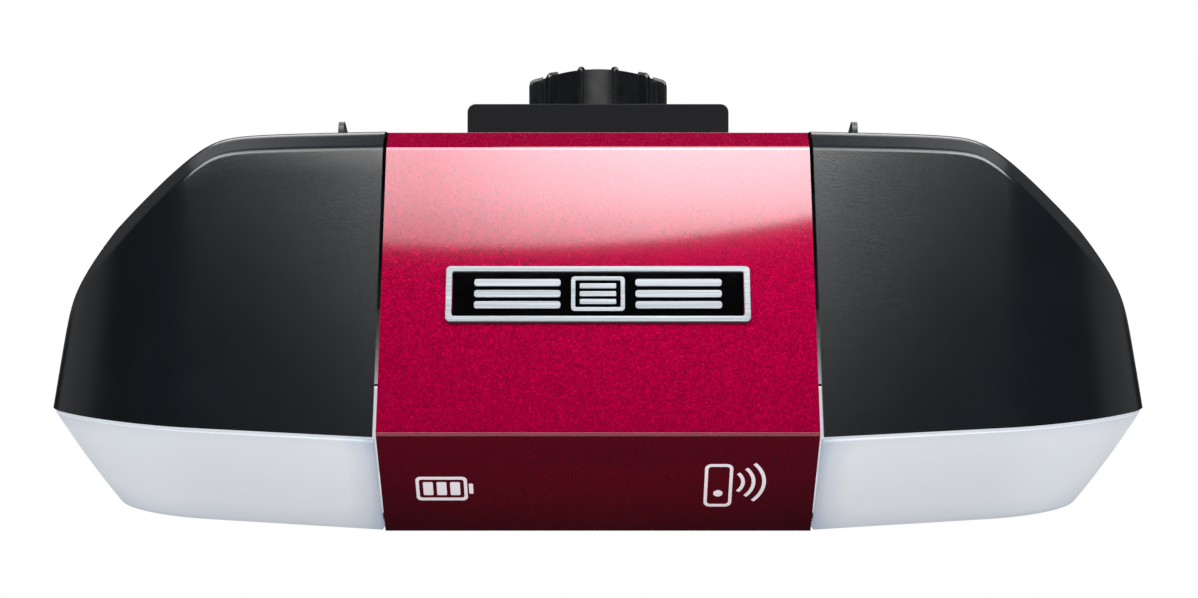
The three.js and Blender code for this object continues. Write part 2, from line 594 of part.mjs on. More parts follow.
const baseHeight = BASE.top - DECK_TOP - FIT;
const baseFront = roundedRectangle(2 * BASE.x, 2 * baseHeight, BASE.corner);
const baseBlock = common(
  prism(baseFront, 2 * BASE.y).rotateX(Math.PI / 2).translate(0, BASE.y, BASE.top - baseHeight),
  box(-BASE.x, BASE.x, -BASE.y, BASE.y, DECK_TOP + FIT, BASE.top));
const inside = { x: BASE.x - BASE.wall, y: BASE.y - BASE.wall };
add('sprocket_base', cut(baseBlock,
  box(-inside.x, inside.x, -inside.y, inside.y, DECK_TOP - 5, BASE.top - BASE.wall),
  cylinder(BASE.recessRadius, BASE.top - BASE.recess, BASE.top + 5, 48),
  cylinder(10, BASE.top - 10, BASE.top + 10)), 'black_plastic');
add('sprocket_cover', sprocketCover(), 'black_plastic');
RAIL_BOLT.xs.forEach((x, i) => {
  const shank = cylinder(RAIL_BOLT.radius, DECK_TOP - RAIL_BOLT.below, DECK_TOP + RAIL_BOLT.above, 16);
  const nut = cylinder(RAIL_BOLT.head, DECK_TOP + FIT, DECK_TOP + RAIL_BOLT.headHeight, 6);
  add(i === 0 ? 'rail_bolt_left' : 'rail_bolt_right', join(shank, nut).translate(x, RAIL_BOLT.y, 0), 'zinc');
});

// ---------------------------------------------------------------- drive train
add('drive_sprocket', sprocket(), 'galvanised');
add('output_shaft', cylinder(SHAFT.radius, SHAFT.bottom, SHAFT.top), 'galvanised');
add('drive_gear', toothedDisc(GEAR.radius, GEAR.teeth, GEAR.toothDepth, SHAFT.radius + FIT,
  GEAR.z - GEAR.height / 2, GEAR.z + GEAR.height / 2), 'nylon');
const bushingBore = SHAFT.radius + 0.4;
add('upper_bushing', turned(ringProfile(bushingBore, BUSHING.radius, BUSHING.z0, BUSHING.z1)), 'bronze');
add('lower_bushing', turned(ringProfile(bushingBore, 10, GEAR_CASE.z0 + FIT, GEAR_CASE.z0 + 5.2)), 'bronze');
add('gear_case', gearCase(), 'zinc');
add('worm_shaft', worm(), 'galvanised');
add('motor_armature', armature(), 'copper');
add('motor_can', motorCan(), 'galvanised');
add('motor_end_bell', motorEndBell(), 'grey');

const lid = { z0: GEAR_CASE.z1 + FIT, z1: GEAR_CASE.z1 + 2.6 };
const post = { radius: 2.4, top: ENCODER.z1 + 3 };
const lidPlate = box(GEAR_CASE.x0, GEAR_CASE.x1, -GEAR_CASE.y, GEAR_CASE.y, lid.z0, lid.z1);
const encoderPost = cylinder(post.radius, lid.z0 + 0.7, post.top, 16).translate(ENCODER.x, 0, 0);
add('gear_case_cover', cut(join(lidPlate, encoderPost), cylinder(SHAFT.radius + 2, lid.z0 - 5, lid.z1 + 5)),
  'zinc');
add('encoder_pinion', toothedDisc(ENCODER.pinionRadius, ENCODER.pinionTeeth, 1, SHAFT.radius + FIT,
  ENCODER.z0, ENCODER.z1), 'nylon');
add('encoder_gear', toothedDisc(ENCODER.gearRadius, ENCODER.gearTeeth, 1, post.radius + FIT,
  ENCODER.z0, ENCODER.z1).translate(ENCODER.x, 0, 0), 'nylon');

// ---------------------------------------------------------------- power and electronics
const windows = { z0: TRANSFORMER.z0 + TRANSFORMER.yoke, z1: TRANSFORMER.z1 - TRANSFORMER.yoke, width: 8 };
const inner = { x0: TRANSFORMER.x0 + TRANSFORMER.leg, x1: TRANSFORMER.x1 - TRANSFORMER.leg };
const coreWindow = (x0) => box(x0, x0 + windows.width, TRANSFORMER.y0 - 8, TRANSFORMER.y1 + 14,
  windows.z0, windows.z1);
add('transformer_core', cut(
  box(TRANSFORMER.x0, TRANSFORMER.x1, TRANSFORMER.y0, TRANSFORMER.y1, TRANSFORMER.z0, TRANSFORMER.z1),
  coreWindow(inner.x0), coreWindow(inner.x1 - windows.width)), 'galvanised');
const coilReach = 5;
const coilBlank = box(inner.x0 + 0.4, inner.x1 - 0.4, TRANSFORMER.y0 - coilReach, TRANSFORMER.y1 + coilReach,
  windows.z0 + 0.4, windows.z1 - 0.4);
const centreLeg = box(inner.x0 + windows.width - 0.4, inner.x1 - windows.width + 0.4,
  TRANSFORMER.y0 - 0.4, TRANSFORMER.y1 + 0.4, 0, TRANSFORMER.z1);
add('transformer_coil', cut(coilBlank, centreLeg), 'copper');

// The battery's two spade terminals stand in recesses in its top.
const { x0, x1, y0, y1, z0, z1 } = BATTERY;
const terminalSpots = [-30, 30].map((offset) => [(x0 + x1) / 2, (y0 + y1) / 2 + offset]);
const spades = terminalSpots.map(([x, y]) => box(-3, 3, -0.4, 0.4, -9, -2).translate(x, y, z1));
const spadeRooms = terminalSpots.map(([x, y]) => box(-6, 6, -5, 5, -6, 10).translate(x, y, z1));
add('battery', join(cut(box(x0, x1, y0, y1, z0, z1), ...spadeRooms), ...spades), 'grey');

const BAY_COVER = { outer: -93.2, inner: -90.3, margin: 5, lip: 9 };
const coverScrew = { y: (y0 + y1) / 2, z: z1 + 5.5 };
const coverBlank = box(BAY_COVER.outer, BAY_COVER.inner, y0 - BAY_COVER.margin, y1 + BAY_COVER.margin,
  z0, z1 + BAY_COVER.lip);
const coverHole = alongX(cylinder(SCREW_HOLE, -100, -80, 12)).translate(0, coverScrew.y, coverScrew.z);
add('battery_cover', cut(coverBlank, coverHole), 'satin_black');
const sideScrew = alongX(hexScrew(2.6)).rotateZ(Math.PI);
add('cover_screw', sideScrew.translate(BAY_COVER.outer, coverScrew.y, coverScrew.z), 'zinc');
add('logic_board', onRear(localBox(CONTROLS.u - 2, 6, 82, 84, -15.6, -14)), 'board');
addPair('lamp_socket', lampSocket(), 'white');
addPair('bulb', bulb(), 'glass');
const glandBody = join(cylinder(GLAND.radius, -6, 3), cylinder(GLAND.radius + 3, FIT, 3));
const glandBore = cylinder(GLAND.bore, -THROUGH, THROUGH, 16);
add('cord_gland', onRear(cut(glandBody, glandBore).translate(GLAND.u, GLAND.v, 0)), 'black_plastic');

// ---------------------------------------------------------------- controls on the rear panel
add('control_bezel', controlBezel(), 'black_plastic');
BUTTON_ROW.forEach((b) => {
  const cap = prism(roundedRectangle(b.width, b.height, 1.2), 10.5).translate(b.u, b.v, -7);
  add(b.name, onRear(cap), b.name === 'learn_button' ? 'yellow' : 'grey');
});
add('terminal_block', terminalBlock(), 'black_plastic');
const TERMINAL_FINISH = ['red', 'white', 'white', 'grey'];
TERMINALS.forEach((name, i) => {
  const push = localBox(terminalU(i), TERMINAL_V + 2, 5.2, 3.8, -4, 5);
  add(name, onRear(push), TERMINAL_FINISH[i]);
});
PANEL_SCREWS.forEach(([u, v], i) => {
  add(`panel_screw_${i + 1}`, onRear(hexScrew(8).translate(u, v, 0)), 'satin_black');
});

export default opener;
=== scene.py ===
import json
import math

import bmesh
import bpy
import numpy as np
from mathutils import Matrix, Vector


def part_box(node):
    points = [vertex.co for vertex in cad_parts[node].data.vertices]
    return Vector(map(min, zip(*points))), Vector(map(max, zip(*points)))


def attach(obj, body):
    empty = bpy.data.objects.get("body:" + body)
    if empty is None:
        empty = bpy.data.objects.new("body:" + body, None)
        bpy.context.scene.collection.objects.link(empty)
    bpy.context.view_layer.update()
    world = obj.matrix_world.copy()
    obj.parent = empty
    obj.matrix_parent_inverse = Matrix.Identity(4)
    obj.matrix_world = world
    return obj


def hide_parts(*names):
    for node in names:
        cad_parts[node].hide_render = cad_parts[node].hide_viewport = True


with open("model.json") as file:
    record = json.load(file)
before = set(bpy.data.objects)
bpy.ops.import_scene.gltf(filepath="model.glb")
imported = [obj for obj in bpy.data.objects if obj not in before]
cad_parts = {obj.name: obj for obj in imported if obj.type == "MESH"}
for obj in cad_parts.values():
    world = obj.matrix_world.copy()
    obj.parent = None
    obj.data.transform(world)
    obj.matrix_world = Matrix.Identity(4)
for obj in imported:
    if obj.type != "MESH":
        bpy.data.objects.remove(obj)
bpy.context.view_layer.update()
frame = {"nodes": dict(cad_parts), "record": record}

# Lengths are in millimetres in the frame's own axes, and MM turns them into metres. The lights, the
# camera and the scales of the textures are in metres.
MM = 0.001


def cad(node):
    """The CAD node's lowest and highest corners, in millimetres."""
    low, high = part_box(node)
    return low / MM, high / MM


panel_low, panel_high = cad("front_panel")
shroud_low, shroud_high = cad("right_shroud")
lens_low, lens_high = cad("right_lens")
base_low, base_high = cad("sprocket_base")
cover_low, cover_high = cad("sprocket_cover")

# ------------------------------------------------------------------ shared dimensions
PANEL_HALF = panel_high.x
MODULE_START = shroud_low.x     # where an end module leaves the centre
TIP = shroud_high.x
SEAM_Z = shroud_low.z           # between the shroud and the lens
CREST_Z = panel_high.z
FOLD = (-panel_low.y, 46.4)     # distance from the middle plane, and height
RIDGE = (98.5, 168.0)
CREST_Y = 89.5
BOTTOM_Y = 102.5
SHEET = 2.0
WELL_Y = 72.0                   # half depth of the well in the top
WELL_X = 128.0                  # half width of the well in the top
WELL_WALL = 3
WELL_WALL_LEVELS = (151, 173.6)
WELL_CUT_LEVELS = (145, 190)
DECK_TOP = cad("deck_plate")[1].z
RIDGE_LEVEL = 168.6
SHELL = 2.6                     # wall of a shroud
LENS_WALL = 2.3
LENS_RIM = lens_high.z
# The lens hinge: its barrel with the bore for the pin, and the room for the two ears that hold the pin.
BARREL_RADIUS, BORE_RADIUS = 2.4, 1.5
BARREL_SETBACK = 10
EAR_ROOM_RADIUS, EAR_ROOM_HALF = 4.6, 5.5
EAR_SETBACK = 4


# ------------------------------------------------------------------ mesh helpers
def make_object(name, verts, faces):
    """A new mesh object from points in millimetres."""
    mesh = bpy.data.meshes.new(name)
    mesh.from_pydata([tuple(float(c) * MM for c in v) for v in verts], [], faces)
    mesh.validate()
    obj = bpy.data.objects.new(name, mesh)
    bpy.context.scene.collection.objects.link(obj)
    return obj


def apply_modifiers(obj):
    """Makes what the modifiers give the object's own mesh."""
    graph = bpy.context.evaluated_depsgraph_get()
    mesh = bpy.data.meshes.new_from_object(obj.evaluated_get(graph))
    obj.modifiers.clear()
    obj.data = mesh
    mesh.name = obj.name
    return obj


def tidy(obj, sharp_angle=35, merge=0.01):
    """Merges doubled points, turns faces outwards, and shades smooth up to the sharp angle."""
    work = bmesh.new()
    work.from_mesh(obj.data)
    bmesh.ops.remove_doubles(work, verts=work.verts, dist=merge * MM)
    bmesh.ops.dissolve_degenerate(work, edges=work.edges, dist=1e-7)
    bmesh.ops.recalc_face_normals(work, faces=work.faces)
    work.to_mesh(obj.data)
    work.free()
    obj.data.polygons.foreach_set("use_smooth", [True] * len(obj.data.polygons))
    obj.data.set_sharp_from_angle(angle=math.radians(sharp_angle))
    return obj


def join(parts, name):
    """Puts closed parts into one object."""
    work = bmesh.new()
    for part in parts:
        work.from_mesh(part.data)
        bpy.data.objects.remove(part)
    mesh = bpy.data.meshes.new(name)
    work.to_mesh(mesh)
    work.free()
    obj = bpy.data.objects.new(name, mesh)
    bpy.context.scene.collection.objects.link(obj)
    return tidy(obj, merge=0.001)


def bevel(obj, width, segments=3, angle=50):
    """Rounds every edge that turns by more than the angle."""
    mod = obj.modifiers.new("bevel", "BEVEL")
    mod.width = width * MM
    mod.segments = segments
    mod.limit_method = "ANGLE"
    mod.angle_limit = math.radians(angle)
    mod.harden_normals = False
    apply_modifiers(obj)
    return tidy(obj)


def boolean(obj, cutter, operation="DIFFERENCE"):
    """Cuts or joins the object with the cutter, which is used up."""
    mod = obj.modifiers.new("boolean", "BOOLEAN")
    mod.object = cutter
    mod.operation = operation
    mod.solver = "EXACT"
    apply_modifiers(obj)
    bpy.data.objects.remove(cutter)
    return obj


def weighted(obj):
    """Shades each rounded edge from the large faces beside it."""
    mod = obj.modifiers.new("normals", "WEIGHTED_NORMAL")
    mod.keep_sharp = True
    return apply_modifiers(obj)


def box_object(name, x0, x1, y0, y1, z0, z1):
    """A plain box between two values on each axis."""
    verts = [(x, y, z) for x in (x0, x1) for y in (y0, y1) for z in (z0, z1)]
    faces = [(0, 1, 3, 2), (4, 6, 7, 5), (0, 4, 5, 1), (2, 3, 7, 6), (0, 2, 6, 4), (1, 5, 7, 3)]
    return make_object(name, verts, faces)


def grid_object(name, rows):
    """A sheet through equal rows of points."""
    width = len(rows[0])
    verts = [p for row in rows for p in row]
    faces = []
    for i in range(len(rows) - 1):
        for j in range(width - 1):
            a = i * width + j
            faces.append((a, a + 1, a + width + 1, a + width))
    return make_object(name, verts, faces)


def prism_object(name, outline, start, end, place=None, steps=1):
    """A flat outline (u, v) carried from w = start to w = end, then put in place by a matrix."""
    count = len(outline)
    levels = [start + (end - start) * i / steps for i in range(steps + 1)]
    verts = [Vector((u, v, w)) for w in levels for u, v in outline]
    faces = [tuple(range(count - 1, -1, -1)), tuple(range(steps * count, (steps + 1) * count))]
    for k in range(steps):
        for i in range(count):
            j = (i + 1) % count
            faces.append((k * count + i, k * count + j, (k + 1) * count + j, (k + 1) * count + i))
    if place is not None:
        verts = [place @ v for v in verts]
    return make_object(name, verts, faces)


def turned_object(name, profile, segments, place=None):
    """A profile of (radius, height) points turned about the w axis; it closes on the axis or on itself."""
    rings, verts, faces = [], [], []
    for radius, height in profile:
        if radius < 1e-6:
            rings.append([len(verts)] * segments)
            verts.append(Vector((0, 0, height)))
            continue
        rings.append(list(range(len(verts), len(verts) + segments)))
        for i in range(segments):
            angle = 2 * math.pi * i / segments
            verts.append(Vector((radius * math.cos(angle), radius * math.sin(angle), height)))
    for low, high in zip(rings, rings[1:]):
        for i in range(segments):
            j = (i + 1) % segments
            face = dict.fromkeys((low[i], low[j], high[j], high[i]))
            if len(face) > 2:
                faces.append(tuple(face))
    if place is not None:
        verts = [place @ v for v in verts]
    return make_object(name, verts, faces)


def rounded_rectangle(width, height, radius, steps=8):
    """The outline of a rectangle about (0, 0), with round corners."""
    points = []
    for turn, (su, sv) in enumerate(((1, 1), (-1, 1), (-1, -1), (1, -1))):
        for i in range(steps + 1):
            angle = math.pi / 2 * (turn + i / steps)
            points.append((su * (width / 2 - radius) + radius * math.cos(angle),
                           sv * (height / 2 - radius) + radius * math.sin(angle)))
    return points


def moved(outline, u, v):
    return [(a + u, b + v) for a, b in outline]


def circle(radius, u=0.0, v=0.0, steps=40):
    angles = [2 * math.pi * i / steps for i in range(steps)]
    return [(u + radius * math.cos(angle), v + radius * math.sin(angle)) for angle in angles]


def smooth_corners(points, reaches, arc, straight):
    """Rounds a line's corners, each of which starts to turn at its reach.

    Each corner gets arc steps and each straight gets straight steps, closer together towards the corners.
    """
    points = [np.array(p, float) for p in points]
    count = len(points)
    arcs = []
    for i, (point, reach) in enumerate(zip(points, reaches)):
        if i in (0, count - 1):
            arcs.append([point])
            continue
        before, after = points[i - 1] - point, points[i + 1] - point
        room = 0.45 * min(np.linalg.norm(before), np.linalg.norm(after))
        reach = min(reach, room)
        a = point + before / max(np.linalg.norm(before), 1e-9) * reach
        b = point + after / max(np.linalg.norm(after), 1e-9) * reach
        steps = np.linspace(0, 1, arc + 1)
        arcs.append([(1 - s) ** 2 * a + 2 * s * (1 - s) * point + s * s * b for s in steps])
    line = []
    for i, corner in enumerate(arcs):
        line.extend(corner)
        if i == count - 1:
            break
        start, end = corner[-1], arcs[i + 1][0]
        for k in range(1, straight):
            share = k / straight
            eased = 0.5 - 0.5 * math.cos(math.pi * share)
            line.append(start + (end - start) * (0.5 * share + 0.5 * eased))
    return line


def thicken(obj, wall, low, high):
    """Gives an open right-hand shell its wall, inwards from its outer face, and keeps it in its box."""
    outward = sum((face.normal * face.area for face in obj.data.polygons), Vector())
    if outward.x < 0:
        obj.data.flip_normals()
    solid = obj.modifiers.new("thickness", "SOLIDIFY")
    solid.thickness = wall * MM
    solid.offset = -1
    solid.use_even_offset = False
    apply_modifiers(obj)
    for vertex in obj.data.vertices:
        for axis in range(3):
            vertex.co[axis] = min(max(vertex.co[axis], low[axis] * MM), high[axis] * MM)
    return obj


def mirror_x(obj, name):
    """A copy on the other side of X = 0."""
    mesh = obj.data.copy()
    mesh.transform(Matrix.Scale(-1, 4, (1, 0, 0)))
    mesh.flip_normals()
    twin = bpy.data.objects.new(name, mesh)
    mesh.name = name
    bpy.context.scene.collection.objects.link(twin)
    return twin


# ------------------------------------------------------------------ materials
class Nodes:
    """Short-hand for building one material's node tree."""

    def __init__(self, name):
        self.material = bpy.data.materials.new(name)
        self.material.use_nodes = True
        self.tree = self.material.node_tree
        self.shader = self.tree.nodes["Principled BSDF"]

    def set(self, **values):
        for key, value in values.items():
            self.shader.inputs[key.replace("_", " ").title().replace("Ior", "IOR")].default_value = value

    def add(self, kind, **settings):
        node = self.tree.nodes.new(kind)
        for key, value in settings.items():
            setattr(node, key, value)
        return node

    def link(self, source, target):
        self.tree.links.new(source, target)

    def coordinates(self, scale=(1, 1, 1)):
        """Object-space coordinates in metres, stretched by the scale."""
        where = self.add("ShaderNodeTexCoord")
        mapping = self.add("ShaderNodeMapping")
        mapping.inputs["Scale"].default_value = scale
        self.link(where.outputs["Object"], mapping.inputs["Vector"])
        return mapping.outputs["Vector"]

    def noise(self, per_metre, detail=2.0, roughness=0.5, stretch=(1, 1, 1)):
        node = self.add("ShaderNodeTexNoise")
        node.inputs["Scale"].default_value = per_metre
        node.inputs["Detail"].default_value = detail
        node.inputs["Roughness"].default_value = roughness
        self.link(self.coordinates(stretch), node.inputs["Vector"])
        return node.outputs["Fac"]

    def ramp(self, source, stops):
        node = self.add("ShaderNodeValToRGB")
        elements = node.color_ramp.elements
        while len(elements) < len(stops):
            elements.new(0.5)
        for element, (place, color) in zip(elements, stops):
            element.position = place
            element.color = (*color, 1)
        self.link(source, node.inputs["Fac"])
        return node.outputs["Color"]

    def spread(self, source, low, high):
        node = self.add("ShaderNodeMapRange")
        node.inputs["From Min"].default_value = 0.25
        node.inputs["From Max"].default_value = 0.75
        node.inputs["To Min"].default_value = low
        node.inputs["To Max"].default_value = high
        self.link(source, node.inputs["Value"])
        return node.outputs["Result"]

    def bump(self, source, depth, strength=1.0):
        node = self.add("ShaderNodeBump")
        node.inputs["Distance"].default_value = depth * MM
        node.inputs["Strength"].default_value = strength
        self.link(source, node.inputs["Height"])
        return node.outputs["Normal"]

    def to(self, socket, source):
        self.link(source, self.shader.inputs[socket])


def shade(color, factor):
    return tuple(min(1.0, c * factor) for c in color)


def varied(name, color, roughness, metallic=0.0, grain=1500, depth=0.02, spread=0.06, patch=60, **extra):
    """A moulded, painted or metal surface: fine grain in the bump, slow drift in colour and gloss."""
    n = Nodes(name)
    n.set(metallic=metallic, **extra)
    drift = n.noise(patch, detail=3)
    tones = [(0.3, shade(color, 1 - spread)), (0.7, shade(color, 1 + spread))]
    n.to("Base Color", n.ramp(drift, tones))
    n.to("Roughness", n.spread(n.noise(patch * 3), roughness - 0.04, roughness + 0.04))
    n.to("Normal", n.bump(n.noise(grain, detail=1), depth))
    return n.material


RED = (0.208, 0.0001, 0.0222)
FLAKES_PER_METRE = 2600
FLAKE_TILT = 0.17


def red_paint():
    """Crimson flake paint under a glossy clear coat."""
    n = Nodes("red_metal")
    n.set(metallic=0.4, roughness=0.22, specular_ior_level=0.0)
    n.set(coat_weight=1.0, coat_roughness=0.045, coat_ior=1.8)
    cells = n.add("ShaderNodeTexVoronoi")
    cells.inputs["Scale"].default_value = FLAKES_PER_METRE
    n.link(n.coordinates(), cells.inputs["Vector"])
    tone = n.add("ShaderNodeSeparateColor")
    n.link(cells.outputs["Color"], tone.inputs["Color"])
    tones = [(0.0, shade(RED, 0.82)), (0.85, RED), (1.0, shade(RED, 1.5))]
    n.to("Base Color", n.ramp(tone.outputs["Red"], tones))
    tilt = n.add("ShaderNodeVectorMath", operation="SUBTRACT")
    n.link(cells.outputs["Color"], tilt.inputs[0])
    tilt.inputs[1].default_value = (0.5, 0.5, 0.5)
    small = n.add("ShaderNodeVectorMath", operation="SCALE")
    small.inputs["Scale"].default_value = FLAKE_TILT
    n.link(tilt.outputs["Vector"], small.inputs[0])
    geometry = n.add("ShaderNodeNewGeometry")
    total = n.add("ShaderNodeVectorMath", operation="ADD")
    n.link(geometry.outputs["Normal"], total.inputs[0])
    n.link(small.outputs["Vector"], total.inputs[1])
    unit = n.add("ShaderNodeVectorMath", operation="NORMALIZE")
    n.link(total.outputs["Vector"], unit.inputs[0])
    n.to("Normal", unit.outputs["Vector"])
    return n.material


def black_grain():
    """Fine-textured black plastic of the end shrouds."""
    n = Nodes("black_plastic")
    n.set(specular_ior_level=0.38)
    drift = n.noise(45, detail=3)
    n.to("Base Color", n.ramp(drift, [(0.3, (0.0044, 0.0056, 0.0070)), (0.7, (0.0056, 0.0068, 0.0084))]))
    n.to("Roughness", n.spread(n.noise(900), 0.16, 0.22))
    n.to("Normal", n.bump(n.noise(1300, detail=2), 0.035, strength=0.8))
    return n.material


def lens_plastic():
    """Frosted, slightly blue-white plastic with a soft painted glow, painted darker and cooler near its
    edges as painted shade.
    """
    n = Nodes("lens")
    n.set(roughness=0.38, subsurface_weight=0.25, subsurface_scale=0.004, specular_ior_level=0.35)
    # Painted glow: the lens gives off light of its own, though it is no lamp.
    n.set(emission_strength=0.66)
    painted_edge_shade = n.add("ShaderNodeAttribute", attribute_name="painted_edge_shade")
    cloud = n.noise(28, detail=2)
    mix = n.add("ShaderNodeMath", operation="MULTIPLY_ADD")
    n.link(cloud, mix.inputs[0])
    mix.inputs[1].default_value = 0.12
    n.link(painted_edge_shade.outputs["Fac"], mix.inputs[2])
    # Painted shade: the colour and the glow turn darker and cooler towards the lens's edges.
    body = ((0.05, (0.20, 0.25, 0.31)), (0.35, (0.34, 0.38, 0.43)), (0.9, (0.40, 0.42, 0.445)))
    glow = ((0.05, (0.40, 0.48, 0.58)), (0.35, (0.64, 0.69, 0.76)), (0.9, (0.80, 0.835, 0.88)))
    n.to("Base Color", n.ramp(mix.outputs["Value"], body))
    n.to("Emission Color", n.ramp(mix.outputs["Value"], glow))
    n.to("Normal", n.bump(n.noise(2200, detail=1), 0.004))
    return n.material


def brushed(name, color, roughness, along=(12, 2400, 2400), depth=0.004):
    """Brushed metal with its streaks along X."""
    n = Nodes(name)
    n.set(metallic=0.5, specular_ior_level=0.1)
    streaks = n.noise(1.0, detail=3, roughness=0.6, stretch=along)
    n.to("Base Color", n.ramp(streaks, [(0.3, shade(color, 0.62)), (0.7, shade(color, 1.22))]))
    n.to("Roughness", n.spread(streaks, roughness - 0.07, roughness + 0.09))
    n.to("Normal", n.bump(streaks, depth))
    return n.material


def spangled(name, color, roughness):
    """Galvanised sheet with its large crystal pattern."""
    n = Nodes(name)
    n.set(metallic=0.9)
    cells = n.add("ShaderNodeTexVoronoi")
    cells.inputs["Scale"].default_value = 160
    n.link(n.coordinates(), cells.inputs["Vector"])
    tone = n.add("ShaderNodeSeparateColor")
    n.link(cells.outputs["Color"], tone.inputs["Color"])
    n.to("Base Color", n.ramp(tone.outputs["Red"], [(0.0, shade(color, 0.82)), (1.0, shade(color, 1.08))]))
    n.to("Roughness", n.spread(tone.outputs["Green"], roughness - 0.06, roughness + 0.08))
    n.to("Normal", n.bump(n.noise(500), 0.01))
    return n.material


MATERIALS = {
    "red_metal": red_paint(),
    "black_plastic": black_grain(),
    "satin_black": varied("satin_black", (0.018, 0.019, 0.021), 0.42, grain=900, depth=0.02),
    "lens": lens_plastic(),
    "silver": brushed("silver", (0.27, 0.295, 0.315), 0.34),
    "gloss_black": varied("gloss_black", (0.0008, 0.0008, 0.001), 0.08, grain=300, depth=0.0002,
                          specular_ior_level=0.04),
    "galvanised": spangled("galvanised", (0.56, 0.58, 0.60), 0.38),
    "zinc": varied("zinc", (0.60, 0.58, 0.52), 0.34, metallic=0.95, grain=700, depth=0.01),
    "nylon": varied("nylon", (0.80, 0.78, 0.70), 0.5),
    "bronze": varied("bronze", (0.46, 0.30, 0.13), 0.42, metallic=0.9, grain=1200),
    "copper": varied("copper", (0.52, 0.20, 0.09), 0.4, metallic=0.85, grain=1800, depth=0.05),
    "board": varied("board", (0.02, 0.16, 0.06), 0.4, patch=220, spread=0.2),
    "glass": varied("glass", (0.86, 0.86, 0.83), 0.3, grain=600, depth=0.004, coat_weight=0.6,
                    emission_color=(1.0, 0.97, 0.92, 1.0), emission_strength=0.5),
    "yellow": varied("yellow", (0.78, 0.50, 0.015), 0.35),
    "grey": varied("grey", (0.13, 0.14, 0.15), 0.5),
    "red": varied("red", (0.45, 0.02, 0.015), 0.35),
    "white": varied("white", (0.78, 0.78, 0.75), 0.35),
}
BASE_PLASTIC = varied("base_plastic", (0.0062, 0.0068, 0.0078), 0.45, grain=1300, depth=0.03,
                      specular_ior_level=0.12)
DRUM_PLASTIC = varied("drum_plastic", (0.0042, 0.0048, 0.0056), 0.26, grain=1300, depth=0.012)
# The printed signs' white ink has a painted glow: it gives off light of its own.
PAINTED_GLOW_INK = varied("white_ink_painted_glow", (0.72, 0.74, 0.78), 0.5, grain=2500, depth=0.004,
             emission_color=(0.9, 0.92, 1.0, 1.0), emission_strength=0.45)


def finish_piece(obj, slot, body, *nodes, material=None):
    """Gives a piece its material, found by its slot unless one is given, puts it on its body, and hides the
    CAD nodes that it stands for.
    """
    obj.data.materials.clear()
    obj.data.materials.append(material or MATERIALS[slot])
    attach(obj, body)
    if nodes:
        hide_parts(*nodes)
    return obj


# ------------------------------------------------------------------ end-module surface
def plan_outline(start, knee, tip, leave, arrive):
    """One quarter of an end module seen from above, as a function of t from 0 to 1.

    It runs straight from the start to the knee, then curves round to the tip on Y = 0. The last two
    values are the lengths of the curve's handles.
    """
    start, knee = np.array(start, float), np.array(knee, float)
    run = (knee - start) / np.linalg.norm(knee - start)
    handles = (knee, knee + run * leave, np.array((tip, arrive)), np.array((tip, 0.0)))

    def at(t):
        if t < 0.5:
            return start + (knee - start) * 2 * t
        s = 2 * t - 1
        weights = ((1 - s) ** 3, 3 * (1 - s) ** 2 * s, 3 * (1 - s) * s * s, s ** 3)
        return sum(w * h for w, h in zip(weights, handles))
    return at


seam_outline = plan_outline((MODULE_START, 142.6), (177, 104), tip=TIP, leave=42, arrive=22)
ridge_outline = plan_outline((MODULE_START, 98.9), (184, 69), tip=244.5, leave=22, arrive=20)
floor_outline = plan_outline((MODULE_START, 101.5), (178, 69), tip=231, leave=30, arrive=22)

# The two falling parts of the ridge line: a point on each, its fall, and how softly it begins.
RIDGE_SLOPE = {"x": 242.2, "z": 110, "fall": 0.86, "blend": 7.8}
RIDGE_FLANK = {"x": 255.3, "z": 97, "fall": 6.4, "blend": 29}
BEVEL_IN, BEVEL_BACK, BEVEL_UP = 6.3, 9.5, 7.4      # how far the bevel above the ridge reaches
BEVEL_FADE = 50                                     # distance from Y = 0 where it starts to close up


def soft_min(a, b, blend):
    """The smaller value, with a smooth change from one to the other."""
    return (a + b - math.hypot(a - b, blend)) / 2


def ridge_height(x):
    """The ridge line seen from the front: level, then down a slope, then down the steep flank."""
    height = RIDGE_LEVEL
    for part in (RIDGE_SLOPE, RIDGE_FLANK):
        height = soft_min(height, part["z"] + part["fall"] * (part["x"] - x), part["blend"])
    return height


def wall_point(t, w):
    """A point of the module's wall: w is 0 at the seam and 1 at the level of the ridge."""
    plan = seam_outline(t) * (1 - w) + ridge_outline(t) * w
    return np.array((plan[0], plan[1], SEAM_Z + w * (RIDGE_LEVEL - SEAM_Z)))


def ridge_point(t):
    """Where the wall meets the ridge line, found by halving."""
    low, high = 0.0, 1.0
    for _ in range(40):
        middle = (low + high) / 2
        point = wall_point(t, middle)
        if point[2] < ridge_height(point[0]):
            low = middle
        else:
            high = middle
    return wall_point(t, low)


def crest_point(t):
    """Where the narrow bevel above the ridge ends; the bevel closes up towards the tip."""
    ridge = ridge_point(t)
    rise = ridge_height(ridge[0] + 0.5) - ridge_height(ridge[0] - 0.5)
    length = math.hypot(rise, 1)
    step = np.array((-BEVEL_IN * rise / length, -BEVEL_BACK, BEVEL_UP / length))
    return ridge + step * min(1, ridge[1] / BEVEL_FADE)


TIP_CROWDING = 1.3


def stations(count):
    """Positions along the outline, closer together towards the tip."""
    first = [0.5 * i / (count // 2) for i in range(count // 2)]
    rest = [1 - 0.5 * (1 - i / count) ** TIP_CROWDING for i in range(count + 1)]
    return first + rest


def front_to_back(half):
    """Mirrors a half section (front side, y negative) about Y = 0."""
    front = [(p[0], -p[1], p[2]) for p in half]
    back = [(p[0], p[1], p[2]) for p in reversed(half[:-1])]
    return front + back


def shroud_section(t):
    """The outer line of the shroud at one station, from the front seam over the top to the rear seam."""
    seam, ridge, crest = wall_point(t, 0), ridge_point(t), crest_point(t)
    top = np.array((crest[0], 0.0, crest[2]))
    return front_to_back(smooth_corners([seam, ridge, crest, top], [0, 1.6, 3.0, 0], arc=6, straight=8))


